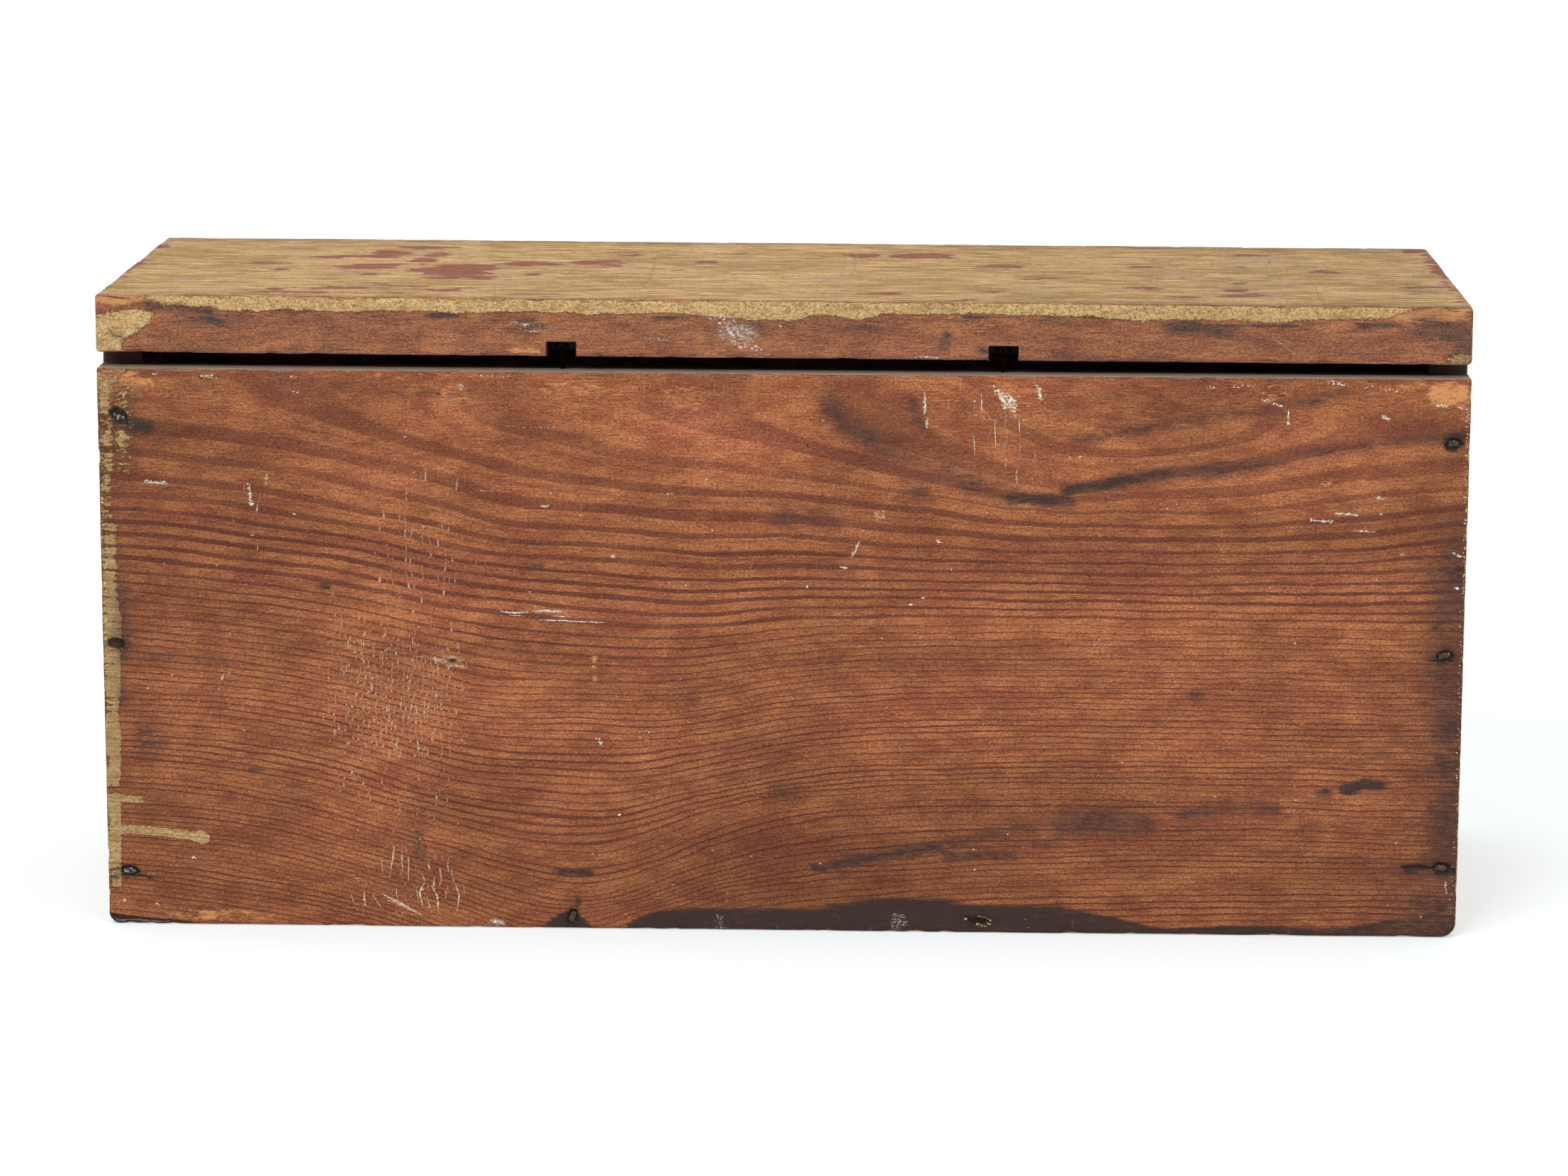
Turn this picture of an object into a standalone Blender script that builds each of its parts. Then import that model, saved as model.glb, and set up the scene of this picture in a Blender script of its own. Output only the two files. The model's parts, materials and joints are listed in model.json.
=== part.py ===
"""Miniature six-board chest with a flat lid on two wire-pin hinges.

Metres, +Z up. The origin is at the middle of the footprint, on the surface that the chest stands on.
The back of the chest faces -Y, its front +Y, and X runs along the length.
"""
import math

import bmesh
import bpy
from mathutils import Matrix, Vector

# Overall sizes of the chest, and the height of its walls at the right end
chest_length = 0.400
chest_depth = 0.138
wall_height = 0.1707

# Boards
wall_thickness = 0.012
bottom_thickness = 0.009
lid_thickness = 0.0173

# The lid leans a little: it lies higher at its left end, and the back board stops short of it
lid_lean = 0.0010
back_gap_left = 0.0041
back_gap_right = 0.0035

# Clearances between pieces that touch, and how far a cut runs past the surface it leaves
seat_gap = 0.0003
nail_clearance = 0.0003
pin_clearance = 0.0003
cut_overrun = 0.004

# Eased and worn edges
wall_ease = 0.0006
lid_bottom_ease = 0.0005
lid_top_ease = 0.0018
lid_corner_round = 0.0020
board_corner_round = 0.0008
worn_left_run = 0.0265
worn_left_rise = 0.0028
worn_left_round = 0.0020
worn_right_round = 0.0050
ease_segments = 2
round_segments = 3
corner_steps = 5
round_profile = 0.5
ease_angle = math.radians(40)

# Cut nails
nail_length = 0.024
nail_head_width = 0.0039
nail_head_height = 0.0023
nail_head_thickness = 0.0011
nail_head_crown = 0.0003
nail_sink = 0.0003
nail_root_width = 0.0020
nail_root_height = 0.0015
nail_tip_width = 0.0010
nail_tip_height = 0.0010
nail_crown_share = 0.8

# Nails into the end boards: how far in as shares of an end board, how high as shares of the walls
left_nail_inset_shares = (0.52, 0.35, 0.55)
left_nail_height_shares = (0.895, 0.500, 0.095)
right_nail_inset_shares = (0.41, 0.475, 0.42)
right_nail_height_shares = (0.867, 0.499, 0.124)
front_nail_inset_share = 0.48
front_nail_height_shares = (0.885, 0.498, 0.111)

# Nails into the bottom board: along the wall that they go through, and up the bottom board
lower_nail_place_shares = (0.346, 0.649)
lower_nail_height_share = 0.39
end_nail_place_shares = (0.29, 0.71)
end_nail_height_share = 0.47

# Hinge pins of bent iron wire
wire_radius = 0.00055
eye_radius = 0.0017
leg_spacing = 0.0016
hinge_inset = 0.0037
hinge_rise = 0.0008
lid_leg_depth = 0.009
body_leg_drop = 0.010
tail_length = 0.0065
tail_bend_radius = 0.0009
eye_step_angle = math.radians(20)
bend_steps = 5

# Hinge notches in the lower rear edge of the lid, cut round the hinge eyes
notch_place_shares = (0.340, 0.661)
notch_side_room = 0.0020
neck_sink = 0.00025
notch_depth = 0.018

# Places that follow from the sizes above
half_length = chest_length / 2
half_depth = chest_depth / 2
inner_back = -half_depth + wall_thickness
inner_front = half_depth - wall_thickness
lid_underside_left = wall_height + lid_lean
lid_underside_right = wall_height
back_top_left = lid_underside_left - back_gap_left
back_top_right = lid_underside_right - back_gap_right
hinge_y = -half_depth + hinge_inset
hinge_z = (lid_underside_left + lid_underside_right) / 2 + hinge_rise
eye_reach = eye_radius + wire_radius
notch_width = 2 * (eye_reach + notch_side_room)
notch_height = hinge_rise + eye_radius + eye_reach - neck_sink
notch_places = [share * chest_length - half_length for share in notch_place_shares]


def along(left_value, right_value, x):
    """A height that runs straight from the left end of the chest to its right end."""
    return left_value + (right_value - left_value) * (x + half_length) / chest_length


def lid_underside(x):
    return along(lid_underside_left, lid_underside_right, x)


def clear_scene():
    for thing in list(bpy.data.objects):
        bpy.data.objects.remove(thing, do_unlink=True)


def make_material(name, colour, roughness, metallic):
    material = bpy.data.materials.new(name)
    material.use_nodes = True
    shader = material.node_tree.nodes["Principled BSDF"]
    shader.inputs["Base Color"].default_value = (*colour, 1)
    shader.inputs["Roughness"].default_value = roughness
    shader.inputs["Metallic"].default_value = metallic
    material.diffuse_color = (*colour, 1)
    return material


def make_object(name, bm, material, parent=None):
    bmesh.ops.recalc_face_normals(bm, faces=bm.faces)
    mesh = bpy.data.meshes.new(name)
    bm.to_mesh(mesh)
    bm.free()
    mesh.materials.append(material)
    return place_mesh(name, mesh, parent)


def place_mesh(name, mesh, parent=None):
    thing = bpy.data.objects.new(name, mesh)
    bpy.context.scene.collection.objects.link(thing)
    thing.parent = parent
    return thing


def add_prism(bm, outline, low_y, high_y):
    """A body whose outline of (x, z) points runs along Y."""
    near = [bm.verts.new((x, low_y, z)) for x, z in outline]
    far = [bm.verts.new((x, high_y, z)) for x, z in outline]
    bm.faces.new(near)
    bm.faces.new(list(reversed(far)))
    count = len(outline)
    for index in range(count):
        after = (index + 1) % count
        bm.faces.new((near[after], near[index], far[index], far[after]))


def add_box(bm, low, high, matrix=None):
    xs, ys, zs = zip(low, high)
    corners = [Vector((x, y, z)) for x in xs for y in ys for z in zs]
    if matrix:
        corners = [matrix @ corner for corner in corners]
    v = [bm.verts.new(corner) for corner in corners]
    for a, b, c, d in ((0, 1, 3, 2), (4, 6, 7, 5), (0, 4, 5, 1), (2, 3, 7, 6), (0, 2, 6, 4), (1, 5, 7, 3)):
        bm.faces.new((v[a], v[b], v[c], v[d]))


def fillet(before, corner, after, radius, steps):
    """Points of an arc that touches both runs that meet at a corner."""
    one = (before - corner).normalized()
    two = (after - corner).normalized()
    half_angle = one.angle(two) / 2
    reach = radius / math.tan(half_angle)
    centre = corner + (one + two).normalized() * radius / math.sin(half_angle)
    start = (corner + one * reach - centre).normalized()
    end = (corner + two * reach - centre).normalized()
    return [centre + start.slerp(end, step / steps) * radius for step in range(steps + 1)]


def rounded_outline(corners, radii):
    corners = [Vector(corner) for corner in corners]
    points = []
    for index, (corner, radius) in enumerate(zip(corners, radii)):
        if radius:
            after = corners[(index + 1) % len(corners)]
            points += fillet(corners[index - 1], corner, after, radius, corner_steps)
        else:
            points.append(corner)
    return points


def ease_edges(thing, width):
    bevel = thing.modifiers.new("eased edges", "BEVEL")
    bevel.width = width
    bevel.segments = ease_segments
    bevel.limit_method = "ANGLE"
    bevel.angle_limit = ease_angle


def cut_away(thing, name, bm):
    """Cut the shapes in bm out of a board."""
    bmesh.ops.recalc_face_normals(bm, faces=bm.faces)
    mesh = bpy.data.meshes.new(name)
    bm.to_mesh(mesh)
    bm.free()
    cutter = place_mesh(name, mesh, thing.parent)
    cutter.hide_render = True
    cutter.display_type = "WIRE"
    cut = thing.modifiers.new(name, "BOOLEAN")
    cut.operation = "DIFFERENCE"
    cut.object = cutter


# Cut nails. A nail's own frame has its head at the board's face and its shank along +Y.

def add_loft(bm, rings, matrix):
    """A closed body through rectangular rings of (y, half width, half height)."""
    loops = []
    for y, half_width, half_height in rings:
        corners = ((-half_width, -half_height), (half_width, -half_height),
                   (half_width, half_height), (-half_width, half_height))
        loops.append([bm.verts.new(matrix @ Vector((x, y, z))) for x, z in corners])
    for one, two in zip(loops, loops[1:]):
        for index in range(4):
            after = (index + 1) % 4
            bm.faces.new((one[index], one[after], two[after], two[index]))
    bm.faces.new(loops[0])
    bm.faces.new(loops[-1])


def add_nail(bm):
    head_width = nail_head_width / 2
    head_height = nail_head_height / 2
    head_foot = nail_sink + nail_head_thickness
    rings = (
        (nail_sink, head_width * nail_crown_share, head_height * nail_crown_share),
        (nail_sink + nail_head_crown, head_width, head_height),
        (head_foot, head_width, head_height),
        (head_foot, nail_root_width / 2, nail_root_height / 2),
        (nail_sink + nail_length, nail_tip_width / 2, nail_tip_height / 2),
    )
    add_loft(bm, rings, Matrix())


def add_nail_hole(bm, matrix):
    head_width = nail_head_width / 2 + nail_clearance
    head_height = nail_head_height / 2 + nail_clearance
    head_foot = nail_sink + nail_head_thickness + nail_clearance
    tip = nail_sink + nail_length + nail_clearance
    rings = (
        (-cut_overrun, head_width, head_height),
        (head_foot, head_width, head_height),
        (head_foot, nail_root_width / 2 + nail_clearance, nail_root_height / 2 + nail_clearance),
        (tip, nail_tip_width / 2 + nail_clearance, nail_tip_height / 2 + nail_clearance),
    )
    add_loft(bm, rings, matrix)


def nail_matrix(side, place, height):
    """Where a nail starts, on the outer face of one side of the chest."""
    turns = {"back": 0, "front": math.pi, "left": -math.pi / 2, "right": math.pi / 2}
    starts = {
        "back": (place, -half_depth, height),
        "front": (place, half_depth, height),
        "left": (-half_length, place, height),
        "right": (half_length, place, height),
    }
    return Matrix.Translation(starts[side]) @ Matrix.Rotation(turns[side], 4, "Z")


def nail_list():
    """Every nail: its name, side, place along that side, height, and the boards that it goes through."""
    nails = []
    for number, (inset, height) in enumerate(zip(left_nail_inset_shares, left_nail_height_shares), 1):
        x = inset * wall_thickness - half_length
        nails.append((f"back_nail_left_{number}", "back", x, height * wall_height, ("back", "left")))
    for number, (inset, height) in enumerate(zip(right_nail_inset_shares, right_nail_height_shares), 1):
        x = half_length - inset * wall_thickness
        nails.append((f"back_nail_right_{number}", "back", x, height * wall_height, ("back", "right")))
    for number, height in enumerate(front_nail_height_shares, 1):
        x = half_length - front_nail_inset_share * wall_thickness
        nails.append((f"front_nail_left_{number}", "front", -x, height * wall_height, ("front", "left")))
        nails.append((f"front_nail_right_{number}", "front", x, height * wall_height, ("front", "right")))
    for number, share in enumerate(lower_nail_place_shares, 1):
        x = share * chest_length - half_length
        height = lower_nail_height_share * bottom_thickness
        nails.append((f"back_nail_lower_{number}", "back", x, height, ("back", "bottom")))
        nails.append((f"front_nail_lower_{number}", "front", x, height, ("front", "bottom")))
    for number, share in enumerate(end_nail_place_shares, 1):
        y = share * chest_depth - half_depth
        height = end_nail_height_share * bottom_thickness
        nails.append((f"left_nail_lower_{number}", "left", y, height, ("left", "bottom")))
        nails.append((f"right_nail_lower_{number}", "right", y, height, ("right", "bottom")))
    return nails


def make_nails(parent, iron):
    bm = bmesh.new()
    add_nail(bm)
    bmesh.ops.recalc_face_normals(bm, faces=bm.faces)
    mesh = bpy.data.meshes.new("cut_nail")
    bm.to_mesh(mesh)
    bm.free()
    mesh.materials.append(iron)
    for name, side, place, height, _ in nail_list():
        nail = place_mesh(name, mesh, parent)
        matrix = nail_matrix(side, place, height)
        nail.location = matrix.to_translation()
        nail.rotation_euler = matrix.to_euler()


def add_nail_holes(bm, board):
    for _, side, place, height, boards in nail_list():
        if board in boards:
            add_nail_hole(bm, nail_matrix(side, place, height))


# Hinge pins: one wire each, bent into an eye with two legs. The eyes of a pair pass through each other.

def eye_arc(open_angle, end_angle):
    """Points round an eye, in its own plane, from just past its opening to just before it."""
    sweep = end_angle - open_angle
    count = math.ceil(abs(sweep) / eye_step_angle)
    angles = [open_angle + sweep * step / count for step in range(count + 1)]
    return [Vector((math.cos(angle), math.sin(angle))) * eye_radius for angle in angles]


def make_wire(name, points, origin, parent, iron):
    """A round wire through points that are given from its origin, on the hinge axis."""
    curve = bpy.data.curves.new(name, "CURVE")
    curve.dimensions = "3D"
    curve.bevel_depth = wire_radius
    curve.bevel_resolution = 2
    curve.use_fill_caps = True
    spline = curve.splines.new("POLY")
    spline.points.add(len(points) - 1)
    for spot, point in zip(spline.points, points):
        spot.co = (*point, 1)
    curve.materials.append(iron)
    wire = bpy.data.objects.new(name, curve)
    bpy.context.scene.collection.objects.link(wire)
    wire.parent = parent
    wire.location = origin
    return wire


def leg_opening_angle():
    """Half the opening of an eye, where its two legs leave it."""
    return math.asin(leg_spacing / 2 / eye_radius)


def lid_pin_points(ceiling):
    """An eye that hangs from the notch's ceiling, its two legs driven up into the lid."""
    half = leg_opening_angle()
    tip = ceiling + lid_leg_depth
    arc = eye_arc(math.pi / 2 - half, half - 3 * math.pi / 2)
    eye = [Vector((x, 0, z + eye_radius)) for x, z in arc]
    return [Vector((leg_spacing / 2, 0, tip)), *eye, Vector((-leg_spacing / 2, 0, tip))]


def body_leg_slant():
    """How far the body pin's legs lean forward from straight down, to come out of the back board's inner face."""
    forward = wall_thickness - hinge_inset
    down = hinge_z - back_top_left + body_leg_drop
    return math.atan2(forward, down)


def body_pin_points():
    """An eye about the hinge axis, its legs through the back board and bent flat on its inner face."""
    half = leg_opening_angle()
    slant = body_leg_slant()
    down = Vector((0, math.sin(slant), -math.cos(slant)))
    forward = Vector((0, math.cos(slant), math.sin(slant)))
    arc = eye_arc(half, 2 * math.pi - half)
    eye = [down * u + forward * v for u, v in arc]
    face = wall_thickness - hinge_inset + seat_gap + wire_radius
    legs = []
    for side in (1, -1):
        offset = side * leg_spacing / 2
        length = (face - offset * math.cos(slant)) / math.sin(slant)
        corner = down * length + forward * offset
        tail = corner + Vector((side * tail_length, 0, 0))
        start = forward * offset + down * eye_radius
        legs.append([*fillet(start, corner, tail, tail_bend_radius, bend_steps), tail])
    return [*reversed(legs[0]), *eye, *legs[1]]


def add_body_pin_hole(bm, x):
    """A slot through the back board, from its top edge to its inner face."""
    slant = body_leg_slant()
    origin = Matrix.Translation((x, hinge_y, hinge_z)) @ Matrix.Rotation(slant, 4, "X")
    across = wire_radius + pin_clearance
    along_slot = leg_spacing / 2 + wire_radius + pin_clearance
    length = (wall_thickness + along_slot) / math.sin(slant) + cut_overrun
    add_box(bm, (-across, -along_slot, -length), (across, along_slot, -eye_radius), origin)


def add_lid_pin_hole(bm, x, ceiling):
    across = leg_spacing / 2 + wire_radius + pin_clearance
    deep = wire_radius + pin_clearance
    top = ceiling + lid_leg_depth + pin_clearance
    add_box(bm, (x - across, hinge_y - deep, hinge_z + eye_radius),
            (x + across, hinge_y + deep, hinge_z + top))


def notch_ceiling(x):
    """Height of a notch's ceiling above the hinge axis."""
    return lid_underside(x) + notch_height - hinge_z


def make_hinges(case, lid, iron):
    for side, x in zip(("left", "right"), notch_places):
        origin = Vector((x, hinge_y, hinge_z))
        make_wire(f"{side}_body_hinge_pin", body_pin_points(), origin, case, iron)
        in_lid = origin - lid.location
        make_wire(f"{side}_lid_hinge_pin", lid_pin_points(notch_ceiling(x)), in_lid, lid, iron)


# Boards

def make_back_board(case, wood):
    bottom_left = (-half_length, worn_left_rise)
    corners = (bottom_left, (-half_length + worn_left_run, 0), (half_length, 0),
               (half_length, back_top_right), (-half_length, back_top_left))
    radii = (worn_left_round, 0, worn_right_round, board_corner_round, board_corner_round)
    bm = bmesh.new()
    add_prism(bm, rounded_outline(corners, radii), -half_depth, inner_back)
    board = make_object("back_board", bm, wood, case)
    ease_edges(board, wall_ease)
    cuts = bmesh.new()
    add_nail_holes(cuts, "back")
    for x in notch_places:
        add_body_pin_hole(cuts, x)
    cut_away(board, "back_board_cuts", cuts)


def make_front_board(case, wood):
    left_top = lid_underside_left - seat_gap
    right_top = lid_underside_right - seat_gap
    corners = ((-half_length, 0), (half_length, 0), (half_length, right_top), (-half_length, left_top))
    radii = (board_corner_round,) * len(corners)
    bm = bmesh.new()
    add_prism(bm, rounded_outline(corners, radii), inner_front, half_depth)
    board = make_object("front_board", bm, wood, case)
    ease_edges(board, wall_ease)
    cuts = bmesh.new()
    add_nail_holes(cuts, "front")
    cut_away(board, "front_board_cuts", cuts)


def make_end_board(side, case, wood):
    outer = -half_length if side == "left" else half_length
    inner = outer + wall_thickness if side == "left" else outer - wall_thickness
    top = min(lid_underside(outer), lid_underside(inner)) - seat_gap
    bm = bmesh.new()
    add_box(bm, (min(outer, inner), inner_back + seat_gap, 0), (max(outer, inner), inner_front - seat_gap, top))
    board = make_object(f"{side}_end_board", bm, wood, case)
    ease_edges(board, wall_ease)
    cuts = bmesh.new()
    add_nail_holes(cuts, side)
    cut_away(board, f"{side}_end_board_cuts", cuts)


def make_bottom_board(case, wood):
    reach = half_length - wall_thickness - seat_gap
    bm = bmesh.new()
    add_box(bm, (-reach, inner_back + seat_gap, 0), (reach, inner_front - seat_gap, bottom_thickness))
    board = make_object("bottom_board", bm, wood, case)
    ease_edges(board, wall_ease)
    cuts = bmesh.new()
    add_nail_holes(cuts, "bottom")
    cut_away(board, "bottom_board_cuts", cuts)


def bevel_edges(bm, edges, width, segments):
    bmesh.ops.bevel(bm, geom=edges, offset=width, segments=segments, profile=round_profile, affect="EDGES")


def rim_edges(bm, level):
    """The edges round a board's top, or round its underside when level is negative."""
    bm.normal_update()
    edges = []
    for edge in bm.edges:
        across = [face.normal.z * level for face in edge.link_faces]
        if max(across) > math.cos(ease_angle) > abs(min(across)):
            edges.append(edge)
    return edges


def make_lid_board(lid, wood):
    outline = ((-half_length, lid_underside_left), (half_length, lid_underside_right),
               (half_length, lid_underside_right + lid_thickness),
               (-half_length, lid_underside_left + lid_thickness))
    bm = bmesh.new()
    add_prism(bm, outline, -half_depth, half_depth)
    bmesh.ops.recalc_face_normals(bm, faces=bm.faces)
    upright = [edge for edge in bm.edges if edge.verts[0].co.xy == edge.verts[1].co.xy]
    bevel_edges(bm, upright, lid_corner_round, round_segments)
    bevel_edges(bm, rim_edges(bm, 1), lid_top_ease, round_segments)
    bevel_edges(bm, rim_edges(bm, -1), lid_bottom_ease, ease_segments)
    bmesh.ops.translate(bm, vec=-lid.location, verts=bm.verts)
    board = make_object("lid_board", bm, wood, lid)
    notches = bmesh.new()
    pin_holes = bmesh.new()
    for x in notch_places:
        add_box(notches, (x - notch_width / 2, -half_depth - cut_overrun, lid_underside(x) - cut_overrun),
                (x + notch_width / 2, -half_depth + notch_depth, lid_underside(x) + notch_height))
        add_lid_pin_hole(pin_holes, x, notch_ceiling(x))
    for name, shapes in (("lid_notches", notches), ("lid_pin_holes", pin_holes)):
        bmesh.ops.translate(shapes, vec=-lid.location, verts=shapes.verts)
        cut_away(board, name, shapes)


def make_empty(name, location):
    empty = bpy.data.objects.new(name, None)
    bpy.context.scene.collection.objects.link(empty)
    empty.location = location
    return empty


def main():
    clear_scene()
    bare_wood = make_material("bare_pine", (0.27, 0.095, 0.035), 0.65, 0)
    painted_wood = make_material("painted_pine", (0.36, 0.25, 0.10), 0.6, 0)
    iron = make_material("rusty_iron", (0.035, 0.024, 0.018), 0.6, 0.6)
    case = make_empty("case", (0, 0, 0))
    lid = make_empty("lid", (0, hinge_y, hinge_z))
    make_back_board(case, bare_wood)
    make_front_board(case, painted_wood)
    make_end_board("left", case, painted_wood)
    make_end_board("right", case, painted_wood)
    make_bottom_board(case, bare_wood)
    make_lid_board(lid, painted_wood)
    make_nails(case, iron)
    make_hinges(case, lid, iron)
    bpy.context.view_layer.update()


main()
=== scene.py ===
import json
import math

import bmesh
import bpy
import numpy as np
from mathutils import Euler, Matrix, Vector
from mathutils.bvhtree import BVHTree

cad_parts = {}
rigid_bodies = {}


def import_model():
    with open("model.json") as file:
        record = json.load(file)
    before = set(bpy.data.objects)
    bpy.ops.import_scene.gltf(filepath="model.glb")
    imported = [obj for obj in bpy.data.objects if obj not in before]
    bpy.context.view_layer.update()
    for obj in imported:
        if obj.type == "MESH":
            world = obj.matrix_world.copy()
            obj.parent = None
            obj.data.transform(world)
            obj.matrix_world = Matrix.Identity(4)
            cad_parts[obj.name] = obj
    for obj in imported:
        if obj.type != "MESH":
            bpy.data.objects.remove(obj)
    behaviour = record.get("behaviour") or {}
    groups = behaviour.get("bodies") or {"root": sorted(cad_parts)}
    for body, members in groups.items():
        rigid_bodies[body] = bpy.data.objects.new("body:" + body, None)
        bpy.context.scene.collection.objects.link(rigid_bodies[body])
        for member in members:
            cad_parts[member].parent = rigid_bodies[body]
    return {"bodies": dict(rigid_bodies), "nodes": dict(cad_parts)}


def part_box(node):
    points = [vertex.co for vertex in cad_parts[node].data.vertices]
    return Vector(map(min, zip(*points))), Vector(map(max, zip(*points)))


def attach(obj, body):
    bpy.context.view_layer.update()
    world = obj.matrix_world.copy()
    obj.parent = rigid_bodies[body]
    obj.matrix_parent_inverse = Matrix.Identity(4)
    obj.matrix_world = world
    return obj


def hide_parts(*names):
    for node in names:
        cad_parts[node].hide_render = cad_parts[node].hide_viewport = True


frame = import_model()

FRAME_OBJECTS = set(frame["nodes"].values()) | set(frame["bodies"].values())
for spare in [o for o in bpy.data.objects if o not in FRAME_OBJECTS]:
    bpy.data.objects.remove(spare)
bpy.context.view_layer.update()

# Units
MM = 0.001

# The chest's own sizes, read from the frame
BACK_LOW, BACK_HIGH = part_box("back_board")
LID_LOW, LID_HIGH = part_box("lid_board")
LEFT_X = BACK_LOW.x
RIGHT_X = BACK_HIGH.x
LENGTH = RIGHT_X - LEFT_X
REAR_Y = BACK_LOW.y
LID_LEAN = 1.0 * MM          # how much higher the lid lies at its left end
BACK_LEAN = 0.4 * MM         # how much higher the back's top edge is at its left end
NOTCH_DEPTH = 18.0 * MM
NOTCH_HEIGHT = 4.5 * MM
NOTCH_ROOM = 2.0 * MM        # from a hinge eye to each side of its notch

# Worn lower corners of the case: the end, which way is inward, and the rounding
WORN_CORNERS = ((LEFT_X, 1, 3.4 * MM), (RIGHT_X, -1, 4.6 * MM))

# How finely the boards' skins are divided
BACK_STEP = 1.7 * MM
PLAIN_STEP = 2.2 * MM
LID_STEP = 1.7 * MM
LID_RISE_STEP = 0.85 * MM
DEPTH_STEP = 3 * MM
EDGE_STEP = 0.16 * MM
EDGE_GROWTH = 0.42

# Surface relief, always cut inward from the solid's faces
SKIN_DEPTH = 0.10 * MM       # the mean, so that raised paint still stays inside
SWELL_DEPTH = 0.12 * MM
RIPPLE_DEPTH = 0.05 * MM
CHIP_DEPTH = 0.9 * MM
PAINT_THICKNESS = 0.07 * MM
BOX_ROOM = 0.03 * MM
EDGE_ROUND = 1.0 * MM

# Round each nail's head, in millimetres
BOWL_REACH = (2.5, 1.65)     # of the crushed wood, along and across the head
BOWL_DEPTH = 1.1
HALO_REACH = (3.6, 2.3)      # of the iron stain
SPLIT_DEPTH = 0.6

# The case's length and depth, for marks that are placed in millimetres
LENGTH_MM = 400
DEPTH_MM = 138

NOWHERE = 9.0                # so far outside any patch
BARE = -5.0                  # so far outside any paint
FLAT = 9                     # a noise's size along an axis on which it mustn't change


# Repeatable noise on plain arrays

def lattice(ix, iy, iz, seed):
    """A repeatable value from 0 to 1 at each whole-numbered place."""
    mixed = (ix * 374761393 + iy * 668265263 + iz * 974634777 + seed * 144665) & 0xFFFFFFFF
    mixed = ((mixed ^ (mixed >> 13)) * 1274126177) & 0xFFFFFFFF
    return (mixed ^ (mixed >> 16)) / 0xFFFFFFFF


def noise(points, size, seed=0):
    """Smooth noise from 0 to 1 at each point, with features of the given size along x, y and z."""
    scaled = points / np.asarray(size, float)
    whole = np.floor(scaled).astype(np.int64)
    part = scaled - whole
    part = part * part * (3 - 2 * part)
    total = np.zeros(len(points))
    for corner in np.ndindex(2, 2, 2):
        weight = np.prod(np.where(corner, part, 1 - part), axis=1)
        ix, iy, iz = (whole + corner).T
        total += weight * lattice(ix, iy, iz, seed)
    return total


def rough(points, size, seed=0, octaves=3):
    """Several layers of noise, each half the size and strength of the last, from 0 to 1."""
    total = np.zeros(len(points))
    strength = 1.0
    for octave in range(octaves):
        total += strength * noise(points, np.asarray(size, float) / 2 ** octave, seed + 17 * octave)
        strength *= 0.5
    return total / (2 - 0.5 ** (octaves - 1))


def smooth(value, low, high):
    """0 below low, 1 above high, with a soft rise between."""
    share = np.clip((value - low) / (high - low), 0, 1)
    return share * share * (3 - 2 * share)


# Distances in the plane of a board, in millimetres

def segment_distance(x, z, start, end):
    """Distance from each place to a straight line between two points, and the share along it."""
    along_x, along_z = end[0] - start[0], end[1] - start[1]
    squared = along_x ** 2 + along_z ** 2 + 1e-9
    share = np.clip(((x - start[0]) * along_x + (z - start[1]) * along_z) / squared, 0, 1)
    return np.hypot(x - start[0] - share * along_x, z - start[1] - share * along_z), share


def path_distance(x, z, path):
    """Distance to the nearest part of a path."""
    nearest = np.full(np.shape(x), 1e6)
    for start, end in zip(path, path[1:]):
        nearest = np.minimum(nearest, segment_distance(x, z, start, end)[0])
    return nearest


def inside_ellipse(x, z, centre, reach):
    """Depth inside an ellipse: 0 on its rim, about the smaller reach at its middle."""
    away = np.hypot((x - centre[0]) / reach[0], (z - centre[1]) / reach[1])
    return (1 - away) * min(reach)


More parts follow.
